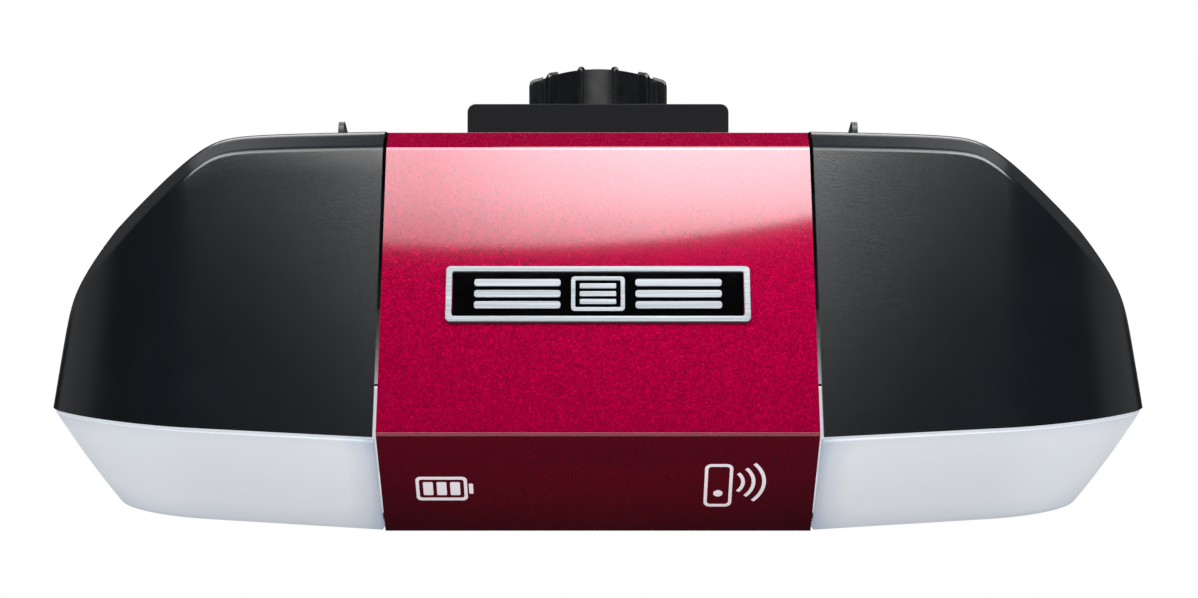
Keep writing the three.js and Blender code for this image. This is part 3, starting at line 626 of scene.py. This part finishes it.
def build_shroud():
    """The right shroud: a thin shell with an inner wall round its share of the well in the top."""
    shell = grid_object("right_shroud_shell", [shroud_section(t) for t in stations(56)])
    tidy(shell, merge=0.02)
    thicken(shell, SHELL, shroud_low, shroud_high)
    wall_x, wall_y = WELL_X + WELL_WALL, WELL_Y + WELL_WALL
    wall = box_object("well_wall", MODULE_START, wall_x, -wall_y, wall_y, *WELL_WALL_LEVELS)
    boolean(shell, wall, "UNION")
    recess = box_object("recess", MODULE_START - 6, WELL_X, -WELL_Y, WELL_Y, *WELL_CUT_LEVELS)
    boolean(shell, recess)
    tidy(shell)
    return weighted(bevel(shell, 0.7, angle=55))


# ------------------------------------------------------------------ lens
def inset(y, amount):
    """Moves a point in from the front, by less and less near the tip, so that it stays clear of Y = 0."""
    return y - amount * min(1, y / (5 * amount))


def lens_section(t):
    """The outer line of the lens at one station, from the front rim under the bottom to the rear rim."""
    floor, seam = floor_outline(t), seam_outline(t)

    def placed(plan, out, inwards, z):
        return np.array((plan[0] + out * t, inset(plan[1], inwards), z))

    low = placed(floor, -0.4, 0.4, 0.0)
    middle = placed((floor + seam) / 2, 2.2, 0.4, LENS_RIM / 2)
    high = placed(seam, -1.2, 1.2, LENS_RIM - 1.6)
    lip = placed(seam, -0.85, 0.85, LENS_RIM - 1.1)
    rim = placed(seam, -0.95, 1.05, LENS_RIM)
    centre = np.array((low[0], 0.0, 0.0))
    wall = [high * (1 - s) ** 2 + middle * 2 * s * (1 - s) + low * s * s for s in (0.0, 0.25, 0.5, 0.75)]
    points = [rim, lip, *wall, low, centre]
    return front_to_back(smooth_corners(points, [0, 0.3, 0.4, 3, 3, 3, 3.2, 0], arc=5, straight=4))


# The lens is painted darker near its edges, in its colour and its glow: painted shade. Each fade is the
# distance that it takes, and each share is what is left at the edge itself.
END_FADE, END_SHARE = 16, 0.1
RIM_FADE, RIM_SHARE = 9, 0.6
WALL_FADE, UNDERSIDE_FADE, BOTTOM_SHARE = 13, 30, 0.45
TIP_START, TIP_SHARE = 0.6, 0.65        # the tip's fade starts at this t


def faded(clear, share):
    """The painted brightness left where clear runs from 0 at an edge to 1 at the end of its fade."""
    return share + (1 - share) * min(1, clear)


def painted_shade_share(t, x, y, z):
    """How bright a point of the lens is painted: darker at its inner end, rim, bottom edge and tip, as
    painted shade.
    """
    end = faded((x - MODULE_START) / END_FADE, END_SHARE)
    rim = faded((LENS_RIM - z) / RIM_FADE, RIM_SHARE)
    inward = floor_outline(t)[1] - abs(y)
    bottom = faded(max(0, z / WALL_FADE, inward / UNDERSIDE_FADE), BOTTOM_SHARE)
    tip = faded((1 - t) / (1 - TIP_START), TIP_SHARE)
    return end * rim * bottom * tip


def build_lens():
    """The right lens: a thin shell with the barrel of its hinge along the inner bottom edge."""
    positions = stations(48)
    rows = [lens_section(t) for t in positions]
    shell = grid_object("right_lens_shell", rows)
    # Painted shade: each point keeps how much darker its colour and glow are painted near the lens's edges.
    painted_edge_shade = shell.data.attributes.new("painted_edge_shade", "FLOAT", "POINT")
    values = [painted_shade_share(t, *point) for t, row in zip(positions, rows) for point in row]
    painted_edge_shade.data.foreach_set("value", values)
    tidy(shell, merge=0.02)
    thicken(shell, LENS_WALL, lens_low, lens_high)
    pin_low, pin_high = cad("right_hinge_pin")
    axis_x, axis_z = (pin_low.x + pin_high.x) / 2, (pin_low.z + pin_high.z) / 2
    reach = pin_high.y - BARREL_SETBACK
    along_y = Matrix.Translation((axis_x, 0, axis_z)) @ Matrix.Rotation(-math.pi / 2, 4, "X")
    barrel = prism_object("barrel", circle(BARREL_RADIUS), -reach, reach, along_y)
    boolean(shell, barrel, "UNION")
    boolean(shell, prism_object("bore", circle(BORE_RADIUS), -reach - 5, reach + 5, along_y))
    for side in (-1, 1):
        ear = side * (pin_high.y - EAR_SETBACK)
        ends = (ear - EAR_ROOM_HALF, ear + EAR_ROOM_HALF)
        boolean(shell, prism_object("ear_room", circle(EAR_ROOM_RADIUS), *ends, along_y))
    tidy(shell)
    return weighted(bevel(shell, 0.35, segments=2, angle=55))


# ------------------------------------------------------------------ panels
SLOPE = math.atan2(FOLD[0] - RIDGE[0], RIDGE[1] - FOLD[1])
FACE_MIDDLE = Vector((0, (FOLD[0] + RIDGE[0]) / 2, (FOLD[1] + RIDGE[1]) / 2))
LOWER_SLOPE = math.atan2(FOLD[0] - BOTTOM_Y, FOLD[1])


def face_frame(u, v, w, origin):
    """A matrix that puts flat outlines (u, v) and their height w on a face."""
    matrix = Matrix((u, v, w)).transposed().to_4x4()
    matrix.translation = origin
    return matrix


SIN, COS = math.sin(SLOPE), math.cos(SLOPE)
FRONT_FACE = face_frame((1, 0, 0), (0, SIN, COS), (0, -COS, SIN), (0, -FACE_MIDDLE.y, FACE_MIDDLE.z))
REAR_FACE = face_frame((-1, 0, 0), (0, -SIN, COS), (0, COS, SIN), (0, FACE_MIDDLE.y, FACE_MIDDLE.z))
LOW_SIN, LOW_COS = math.sin(LOWER_SLOPE), math.cos(LOWER_SLOPE)
LOWER_FACE = face_frame((1, 0, 0), (0, -LOW_SIN, LOW_COS), (0, -LOW_COS, -LOW_SIN),
                        (0, -(FOLD[0] + BOTTOM_Y) / 2, FOLD[1] / 2))


def sheet_outline(points, thickness):
    """Closes an open line into a sheet by adding the same line moved to its right side."""
    points = [np.array(p, float) for p in points]
    side = []
    for i, point in enumerate(points):
        arrive = point - points[i - 1] if i > 0 else points[1] - point
        leave = points[i + 1] - point if i < len(points) - 1 else arrive
        arrive, leave = arrive / np.linalg.norm(arrive), leave / np.linalg.norm(leave)
        normal = np.array((arrive[1] + leave[1], -arrive[0] - leave[0]))
        normal /= np.linalg.norm(normal)
        mitre = thickness / (normal @ np.array((arrive[1], -arrive[0])))
        side.append(point + normal * mitre)
    return points + side[::-1]


def build_panel(name, side):
    """A folded sheet, from the bottom lip over the two faces and the top bevel down into the well."""
    line = [(-90, 0), (-BOTTOM_Y, 0), (-FOLD[0], FOLD[1]), (-RIDGE[0], RIDGE[1]), (-CREST_Y, CREST_Z),
            (-WELL_Y - SHEET, CREST_Z), (-WELL_Y - SHEET, DECK_TOP + 0.3)]
    outer = smooth_corners(line, [0, 1.0, 1.3, 1.3, 0.15, 1.0, 0], arc=7, straight=9)
    outline = [(side * -y, z) for y, z in sheet_outline(outer, SHEET)]
    place = Matrix(((0, 0, 1, 0), (1, 0, 0, 0), (0, 1, 0, 0), (0, 0, 0, 1)))
    panel = prism_object(name, outline, -PANEL_HALF, PANEL_HALF, place, steps=12)
    return tidy(panel)


front_panel = weighted(bevel(build_panel("red_front_panel", -1), 0.9, segments=4, angle=55))
finish_piece(front_panel, "red_metal", "chassis", "front_panel")

CONTROLS = {"u": 40, "v": -6, "width": 66, "height": 50}
GLAND = {"u": -62, "v": -22, "radius": 8}
PANEL_SCREWS = ((-84, 50), (84, 50), (-84, -50), (84, -50))
SCREW_HOLE_RADIUS = 1.9
ROOM = 0.3                      # clearance round what sits in a hole of the rear panel
half_u, half_v = CONTROLS["width"] / 2 + ROOM, CONTROLS["height"] / 2 + ROOM
window = moved([(-half_u, -half_v), (half_u, -half_v), (half_u, half_v), (-half_u, half_v)],
               CONTROLS["u"], CONTROLS["v"])
cord_hole = circle(GLAND["radius"] + ROOM, GLAND["u"], GLAND["v"])
screw_holes = [circle(SCREW_HOLE_RADIUS, u, v, 20) for u, v in PANEL_SCREWS]
rear_panel = build_panel("black_rear_panel", 1)
for hole in (window, cord_hole, *screw_holes):
    boolean(rear_panel, prism_object("panel_hole", hole, -8, 8, REAR_FACE))
rear_panel = weighted(bevel(tidy(rear_panel), 0.5, angle=55))
finish_piece(rear_panel, "satin_black", "chassis", "rear_panel")

right_shroud = build_shroud()
left_shroud = mirror_x(right_shroud, "left_shroud_shell")
finish_piece(right_shroud, "black_plastic", "chassis", "right_shroud")
finish_piece(left_shroud, "black_plastic", "chassis", "left_shroud")

right_lens = build_lens()
left_lens = mirror_x(right_lens, "left_lens_shell")
finish_piece(right_lens, "lens", "right_lens", "right_lens")
finish_piece(left_lens, "lens", "left_lens", "left_lens")

# ------------------------------------------------------------------ badge
BADGE_V = -3.3                  # from the middle of the upper face
BADGE_SIZE = (130.4, 25.1)
BADGE_BORDER = 2.7
BADGE_FOOT = 0.3
RIM_TOP = BADGE_FOOT + 1.3
PLATE_TOP = BADGE_FOOT + 0.8
PLATE_PLAY = 0.6
badge_place = FRONT_FACE @ Matrix.Translation((0, BADGE_V, 0))
badge_rim = prism_object("badge_rim", rounded_rectangle(*BADGE_SIZE, 2.0), BADGE_FOOT, RIM_TOP, badge_place)
hole_size = [side - 2 * BADGE_BORDER for side in BADGE_SIZE]
boolean(badge_rim, prism_object("badge_hole", rounded_rectangle(*hole_size, 1.0), -2, 5, badge_place))
badge_rim = weighted(bevel(tidy(badge_rim), 0.4, segments=3))
finish_piece(badge_rim, "silver", "chassis", "badge_frame")
plate_size = [side - PLATE_PLAY for side in hole_size]
badge_plate = prism_object("badge_plate", rounded_rectangle(*plate_size, 0.8),
                           BADGE_FOOT, PLATE_TOP, badge_place)
badge_plate = weighted(bevel(tidy(badge_plate), 0.15, segments=2))
finish_piece(badge_plate, "gloss_black", "chassis", "badge_inset")

EMBLEM_FOOT, EMBLEM_TOP = PLATE_TOP - 0.1, PLATE_TOP + 0.45
DOOR = {"width": 23, "height": 15.6, "corner": 1.6, "border": 1.8, "inner_corner": 0.6}
DOOR_PANEL = {"width": 15.6, "height": 2.3, "corner": 0.4, "pitch": 3.5}
STRIPE = {"length": 37, "height": 3.3, "corner": 1.2, "pitch": 5.0, "start": 16}


def build_emblem():
    """A raised silver sign: a framed door with three panels, and three stripes on each side of it."""
    door_outline = rounded_rectangle(DOOR["width"], DOOR["height"], DOOR["corner"])
    door = prism_object("door", door_outline, EMBLEM_FOOT, EMBLEM_TOP, badge_place)
    inner = [DOOR[side] - 2 * DOOR["border"] for side in ("width", "height")]
    inner_outline = rounded_rectangle(*inner, DOOR["inner_corner"])
    boolean(door, prism_object("door_room", inner_outline, -2, 5, badge_place))
    panel = rounded_rectangle(DOOR_PANEL["width"], DOOR_PANEL["height"], DOOR_PANEL["corner"], steps=3)
    stripe = rounded_rectangle(STRIPE["length"], STRIPE["height"], STRIPE["corner"], steps=5)
    stripe_middle = STRIPE["start"] + STRIPE["length"] / 2
    outlines = [moved(panel, 0, row * DOOR_PANEL["pitch"]) for row in (1, 0, -1)]
    for side in (-1, 1):
        for row in (1, 0, -1):
            outlines.append(moved(stripe, side * stripe_middle, row * STRIPE["pitch"]))
    bars = [prism_object("bar", outline, EMBLEM_FOOT, EMBLEM_TOP, badge_place) for outline in outlines]
    return join([door, *bars], "badge_emblem")


emblem = weighted(bevel(build_emblem(), 0.18, segments=2))
finish_piece(emblem, "silver", "chassis")

# ------------------------------------------------------------------ printed signs on the lower face
PRINT_DEPTH, PRINT_HEIGHT = -0.2, 0.08


def printed(outline, hole=None):
    """A thin printed shape on the lower face, with an open middle where a hole is given."""
    part = prism_object("print", outline, PRINT_DEPTH, PRINT_HEIGHT, LOWER_FACE)
    if hole is not None:
        boolean(part, prism_object("print_hole", hole, PRINT_DEPTH - 1, PRINT_HEIGHT + 1, LOWER_FACE))
    return part


def arc_band(radius, width, half_angle, u, v, steps=16):
    """The outline of a band that bends about (u, v) and faces +u."""
    angles = [math.radians(half_angle) * (2 * i / steps - 1) for i in range(steps + 1)]
    outer = [(radius + width / 2, a) for a in angles]
    inner = [(radius - width / 2, a) for a in reversed(angles)]
    return [(u + r * math.cos(a), v + r * math.sin(a)) for r, a in outer + inner]


def framed(width, height, corner, inner_corner, level_line, u, v):
    """A printed frame with round corners. Its level lines are wider than its upright ones, because the
    lower face is seen at a slant."""
    upright_line = 1.4
    case = moved(rounded_rectangle(width, height, corner), u, v)
    room = rounded_rectangle(width - 2 * upright_line, height - 2 * level_line, inner_corner)
    return printed(case, moved(room, u, v))


def battery_sign(u, v):
    """A battery seen from the side, with three charge bars."""
    case = framed(22, 15, 2.2, 1.2, 1.7, u, v)
    terminal = moved(rounded_rectangle(1.8, 6.4, 0.6), u + 12.6, v)
    bars = [moved(rounded_rectangle(4.2, 8.2, 0.6), u + step, v) for step in (-5.8, 0, 5.8)]
    return join([case, printed(terminal), *(printed(bar) for bar in bars)], "battery_sign")


def wireless_sign(u, v):
    """A hand-held remote with three waves coming from it."""
    case = framed(12, 27, 2.8, 1.6, 1.6, u, v)
    button = moved(circle(2.0), u, v - 5.0)
    waves = [printed(arc_band(radius, 1.6, 42, u + 2.0, v + 2.0)) for radius in (8.5, 13, 17.5)]
    return join([case, printed(button), *waves], "wireless_sign")


# The signs' ink carries a painted glow.
finish_piece(battery_sign(-67.0, -3.0), "white", "chassis", material=PAINTED_GLOW_INK)
finish_piece(wireless_sign(51.5, -1.0), "white", "chassis", material=PAINTED_GLOW_INK)

# ------------------------------------------------------------------ base and drum
BASE_CORNER = 3.8
BASE_WALL = 2.5
SHAFT_HOLE_RADIUS = 10
SHAFT_HOLE_LEVELS = (170, 200)  # from inside the hollow base to above its roof
SEAT_RADIUS, SEAT_DEPTH = 37, 0.6
base_outline = rounded_rectangle(base_high.x - base_low.x, 2 * (base_high.z - base_low.z), BASE_CORNER)
base_outline = [(u, v) for u, v in base_outline if v >= 0]
base_outline = [(base_high.x, 0), *base_outline, (base_low.x, 0)]
base_place = Matrix(((1, 0, 0, 0), (0, 0, -1, 0), (0, 1, 0, base_low.z), (0, 0, 0, 1)))
base = prism_object("rail_base", base_outline, base_low.y, base_high.y, base_place)
boolean(base, box_object("base_room", base_low.x + BASE_WALL, base_high.x - BASE_WALL,
                         base_low.y + BASE_WALL, base_high.y - BASE_WALL,
                         base_low.z - 5, base_high.z - BASE_WALL))
boolean(base, prism_object("shaft_hole", circle(SHAFT_HOLE_RADIUS), *SHAFT_HOLE_LEVELS))
seat_outline = circle(SEAT_RADIUS, steps=96)
boolean(base, prism_object("cover_seat", seat_outline, base_high.z - SEAT_DEPTH, base_high.z + 5))
base = weighted(bevel(tidy(base), 0.8, segments=3))
finish_piece(base, "black_plastic", "chassis", "sprocket_base", material=BASE_PLASTIC)

COVER_RADIUS = 29.7
COVER_WALL = 2.2
COVER_TOP = 207.7
ARCH_RADIUS = 100.0
RIBS = 12
RIB_RADIUS = cover_high.x
RIB_TOP = 209.2
RIB_THICKNESS = 2.5
SLOT_HALF, SLOT_TOP = 20.0, 202.5
CLEAR_ABOVE = 215               # a level above everything on the cap


def arch_height(top, x):
    """The height of a shallow arch across X whose highest level is given."""
    return top - ARCH_RADIUS + math.sqrt(ARCH_RADIUS ** 2 - x * x)


def arch_block(top, low):
    """A block whose upper face is a shallow arch that spans X and runs along Y."""
    half = 40
    arch = [(x, arch_height(top, x)) for x in np.linspace(half, -half, 49)]
    upright = Matrix(((1, 0, 0, 0), (0, 0, -1, 0), (0, 1, 0, 0), (0, 0, 0, 1)))
    return prism_object("arch", [(-half, low), (half, low), *arch], -half, half, upright)


def build_rib(angle):
    """An upright radial plate with a gable top; its top follows the arch and rounds off at the outer end."""
    corner, gable, flat = 2.0, 1.3, 0.3
    side, low = RIB_THICKNESS / 2, cover_low.z
    turn = Matrix.Rotation(angle, 4, "Z")
    rows = []
    level = np.linspace(COVER_RADIUS - COVER_WALL, RIB_RADIUS - corner, 5)
    rounded = RIB_RADIUS - corner * np.array((0.7, 0.4, 0.15, 0))
    for r in (*level, *rounded):
        over = max(0.0, r - (RIB_RADIUS - corner))
        top = arch_height(RIB_TOP, r * math.cos(angle)) - corner + math.sqrt(corner ** 2 - over ** 2)
        section = [(-side, low), (-side, top - gable), (-flat, top),
                   (flat, top), (side, top - gable), (side, low)]
        rows.append([turn @ Vector((r, w, z)) for w, z in section])
    rib = grid_object("rib", [[*row, row[0]] for row in rows])
    work = bmesh.new()
    work.from_mesh(rib.data)
    bmesh.ops.remove_doubles(work, verts=work.verts, dist=0.001 * MM)
    bmesh.ops.holes_fill(work, edges=work.edges)
    work.to_mesh(rib.data)
    work.free()
    return bevel(tidy(rib), 0.5, segments=3, angle=40)


def build_cover():
    """A hollow drum with an arched top, ribs all round but at the belt slot, and the slot at the back."""
    low = cover_low.z
    profile = [(0, low), (COVER_RADIUS, low), (COVER_RADIUS, CLEAR_ABOVE), (0, CLEAR_ABOVE)]
    drum = turned_object("sprocket_drum", profile, 144)
    boolean(drum, arch_block(COVER_TOP, low - 5), "INTERSECT")
    drum = bevel(tidy(drum), 1.2, segments=4)
    for i in range(RIBS):
        angle = (i + 0.5) * 2 * math.pi / RIBS
        over_slot = math.sin(angle) > 0 and abs(math.cos(angle)) * RIB_RADIUS < SLOT_HALF
        if not over_slot:
            boolean(drum, build_rib(angle), "UNION")
    inner = COVER_RADIUS - COVER_WALL
    profile = [(0, low - 5), (inner, low - 5), (inner, CLEAR_ABOVE), (0, CLEAR_ABOVE)]
    room = turned_object("room", profile, 96)
    boolean(room, arch_block(COVER_TOP - COVER_WALL, low - 9), "INTERSECT")
    boolean(drum, room)
    boolean(drum, box_object("slot", -SLOT_HALF, SLOT_HALF, 5, 45, low - 5, SLOT_TOP))
    return weighted(tidy(drum))


finish_piece(build_cover(), "black_plastic", "chassis", "sprocket_cover", material=DRUM_PLASTIC)

# ------------------------------------------------------------------ bulbs
def curve_points(points, steps):
    """Points along a cubic Bezier curve, without its first one."""
    a, b, c, d = (np.array(p, float) for p in points)
    line = []
    for i in range(1, steps + 1):
        s = i / steps
        line.append((1 - s) ** 3 * a + 3 * (1 - s) ** 2 * s * b + 3 * (1 - s) * s * s * c + s ** 3 * d)
    return line


def build_bulb():
    """A threaded base, a neck that widens into the globe, and a rounded end, along X."""
    low, high = cad("right_bulb")
    cap_radius, thread_depth, turns = 13.3, 0.7, 7
    neck_radius, neck_flare, neck_handle = 15.5, 1.1, 20.2
    globe_radius, globe_handle, dome = 30.0, 18, 27.0
    neck_start, widest = 128.7, high.x - dome
    glass_start = neck_start + 1.8
    profile = [(0, low.x), (cap_radius, low.x)]
    pitch = (neck_start - low.x - 2) / turns
    for i in range(turns):
        foot = low.x + 1 + i * pitch
        profile += [(cap_radius, foot + 0.3 * pitch), (cap_radius - thread_depth, foot + 0.65 * pitch)]
    profile += [(cap_radius, neck_start), (neck_radius, glass_start)]
    neck_curve = [(neck_radius, glass_start), (neck_radius + neck_flare, glass_start + neck_handle),
                  (globe_radius, widest - globe_handle), (globe_radius, widest)]
    profile += curve_points(neck_curve, 24)
    for i in range(1, 17):
        angle = math.pi / 2 * i / 16
        profile.append((globe_radius * math.cos(angle), widest + dome * math.sin(angle)))
    middle_y, middle_z = (low.y + high.y) / 2, (low.z + high.z) / 2
    place = Matrix(((0, 0, 1, 0), (1, 0, 0, middle_y), (0, 1, 0, middle_z), (0, 0, 0, 1)))
    return tidy(turned_object("right_bulb_glass", profile, 72, place))


right_bulb = build_bulb()
left_bulb = mirror_x(right_bulb, "left_bulb_glass")
finish_piece(right_bulb, "glass", "chassis", "right_bulb")
finish_piece(left_bulb, "glass", "chassis", "left_bulb")

# ------------------------------------------------------------------ carried-over CAD nodes
slots = {part["node"]: part["material_slot"] for part in frame["record"]["subparts"]}
for node, obj in frame["nodes"].items():
    obj.data.materials.clear()
    obj.data.materials.append(MATERIALS[slots[node]])

# ------------------------------------------------------------------ stage
WHITE = (1.0, 1.0, 1.0, 1.0)
BOUNCE = 0.002                  # how much light the floor gives back
FLOOR_Z = -1200
FLOOR_HALF = 12000
LIGHT_DISTANCE = 2.5            # metres from the middle of the upper face
PANEL_MIDDLE = Vector((0, -FACE_MIDDLE.y, FACE_MIDDLE.z))


def camera_white(tree, output, dim_shader):
    """White to the camera, and the dim shader to every other ray."""
    path = tree.nodes.new("ShaderNodeLightPath")
    mix = tree.nodes.new("ShaderNodeMixShader")
    kind = "ShaderNodeEmission" if output.type == "OUTPUT_MATERIAL" else "ShaderNodeBackground"
    glow = tree.nodes.new(kind)
    glow.inputs["Color"].default_value = WHITE
    glow.inputs["Strength"].default_value = 1.0
    tree.links.new(path.outputs["Is Camera Ray"], mix.inputs[0])
    tree.links.new(dim_shader, mix.inputs[1])
    tree.links.new(glow.outputs[0], mix.inputs[2])
    tree.links.new(mix.outputs[0], output.inputs["Surface"])


def build_floor():
    half = FLOOR_HALF
    floor = make_object("floor", [(-half, -half, FLOOR_Z), (half, -half, FLOOR_Z),
                                  (half, half, FLOOR_Z), (-half, half, FLOOR_Z)], [(0, 1, 2, 3)])
    material = bpy.data.materials.new("pale_floor")
    material.use_nodes = True
    tree = material.node_tree
    shader = tree.nodes["Principled BSDF"]
    shader.inputs["Base Color"].default_value = (BOUNCE, BOUNCE, BOUNCE, 1)
    shader.inputs["Roughness"].default_value = 0.9
    camera_white(tree, tree.nodes["Material Output"], shader.outputs[0])
    floor.data.materials.append(material)


def build_world():
    world = bpy.data.worlds.new("studio")
    bpy.context.scene.world = world
    world.use_nodes = True
    tree = world.node_tree
    dim = tree.nodes["Background"]
    dim.inputs["Color"].default_value = (0.92, 0.96, 1.0, 1)
    dim.inputs["Strength"].default_value = 0.003
    camera_white(tree, tree.nodes["World Output"], dim.outputs[0])


def brightness_ramp(tree, value, stops):
    """Turns a value from 0 to 1 into a brightness, through (place, level) stops."""
    curve = tree.nodes.new("ShaderNodeValToRGB")
    elements = curve.color_ramp.elements
    while len(elements) < len(stops):
        elements.new(0.5)
    for element, (place, level) in zip(elements, stops):
        element.position = place
        element.color = (level, level, level, 1)
    tree.links.new(value, curve.inputs["Fac"])
    return curve.outputs["Color"]


def softbox(name, azimuth, low, high, half_width, radiance,
            upwards=None, across=None, roll=0.0, shape="ELLIPSE"):
    """A soft light seen from the panel under the given angles in degrees, from elevation low to high.

    Azimuth 0 is straight in front and positive to +X. Two ramps may give its brightness from bottom to
    top and from -X to +X.
    """
    elevation = (low + high) / 2
    light = bpy.data.lights.new(name, "AREA")
    light.shape = shape
    light.size = 2 * LIGHT_DISTANCE * math.tan(math.radians(half_width))
    light.size_y = 2 * LIGHT_DISTANCE * math.tan(math.radians((high - low) / 2))
    area = light.size * light.size_y * (math.pi / 4 if shape == "ELLIPSE" else 1)
    light.energy = radiance * math.pi * area
    if upwards is not None:
        light.use_nodes = True
        tree = light.node_tree
        where = tree.nodes.new("ShaderNodeNewGeometry")
        parts = tree.nodes.new("ShaderNodeSeparateXYZ")
        product = tree.nodes.new("ShaderNodeMath")
        product.operation = "MULTIPLY"
        tree.links.new(where.outputs["Parametric"], parts.inputs[0])
        tree.links.new(brightness_ramp(tree, parts.outputs["Y"], upwards), product.inputs[0])
        tree.links.new(brightness_ramp(tree, parts.outputs["X"], across), product.inputs[1])
        tree.links.new(product.outputs[0], tree.nodes["Emission"].inputs["Strength"])
    obj = bpy.data.objects.new(name, light)
    a, e = math.radians(azimuth), math.radians(elevation)
    out = Vector((math.sin(a) * math.cos(e), -math.cos(a) * math.cos(e), math.sin(e)))
    obj.location = PANEL_MIDDLE * MM + out * LIGHT_DISTANCE
    facing = out.to_track_quat("Z", "Y").to_matrix().to_4x4()
    obj.rotation_euler = (facing @ Matrix.Rotation(math.radians(roll), 4, "Z")).to_euler()
    bpy.context.scene.collection.objects.link(obj)
    return obj


def table_glow(name, side, radiance, width=0.72, depth=0.16, color=(1, 1, 1)):
    """Light that comes up from just below one long side, as from a bright table top."""
    light = bpy.data.lights.new(name, "AREA")
    light.shape = "RECTANGLE"
    light.size, light.size_y = width, depth
    light.color = color
    light.energy = radiance * math.pi * light.size * light.size_y
    obj = bpy.data.objects.new(name, light)
    near_edge, below = 0.158, 0.012
    obj.location = (0, side * (near_edge + light.size_y / 2), -below)
    obj.rotation_euler = (math.pi, 0, 0)
    bpy.context.scene.collection.objects.link(obj)
    return obj


build_floor()
build_world()
KEY_UPWARDS = ((0.0, 0.28), (0.008, 0.31), (0.0145, 0.36), (0.026, 0.41), (0.036, 0.47), (0.055, 0.57),
               (0.1, 0.7), (0.3, 0.9), (0.6, 1.0))
KEY_ACROSS = ((0.3, 0.4), (0.475, 0.62), (0.53, 0.86), (0.59, 1.0), (0.66, 1.0), (0.75, 0.85))
softbox("key", -8, 39.75, 79, 33, 12, upwards=KEY_UPWARDS, across=KEY_ACROSS, roll=5)
softbox("front_strip", 0, -3, 13, 22, 2.2)
softbox("crest_light", 90, 66, 94, 9, 3)
softbox("back_key", 180, 34, 60, 33, 4)
for side, name, side_radiance, outer_radiance in ((-1, "left", 5.2, 8.0), (1, "right", 6.4, 11.0)):
    softbox(name + "_side_key", side * 62, 34.5, 58, 26, side_radiance)
    softbox(name + "_outer_key", side * 71, 27, 46, 11, outer_radiance)
    softbox(name + "_rim", side * 125, -20, 35, 12, 0.15, shape="RECTANGLE")
    softbox(name + "_back_key", side * 132, 33, 58, 20, 1.0)
table_glow("front_glow", -1, 0.8)
table_glow("red_bounce", -1, 2.3, width=0.14, depth=0.06, color=(1, 0.01, 0.08))
table_glow("back_glow", 1, 1.0)

# ------------------------------------------------------------------ camera
EYE_DISTANCE = 0.858            # from the eye to the fold line, in metres
EYE_HEIGHT = 0.1344
VIEW_WIDTH = 0.500764           # what the view's width takes in at the fold line
SHIFT = (0.0008347, -0.0626043)
SENSOR = 36.0

camera_data = bpy.data.cameras.new("camera")
camera_data.sensor_width = SENSOR
camera_data.lens = EYE_DISTANCE / VIEW_WIDTH * SENSOR
camera_data.shift_x, camera_data.shift_y = SHIFT
camera_data.clip_end = 100
camera = bpy.data.objects.new("camera", camera_data)
camera.location = (0, -FOLD[0] * MM - EYE_DISTANCE, EYE_HEIGHT)
camera.rotation_euler = (math.radians(90), 0, 0)
bpy.context.scene.collection.objects.link(camera)
bpy.context.scene.camera = camera
bpy.context.scene.view_settings.view_transform = "Standard"
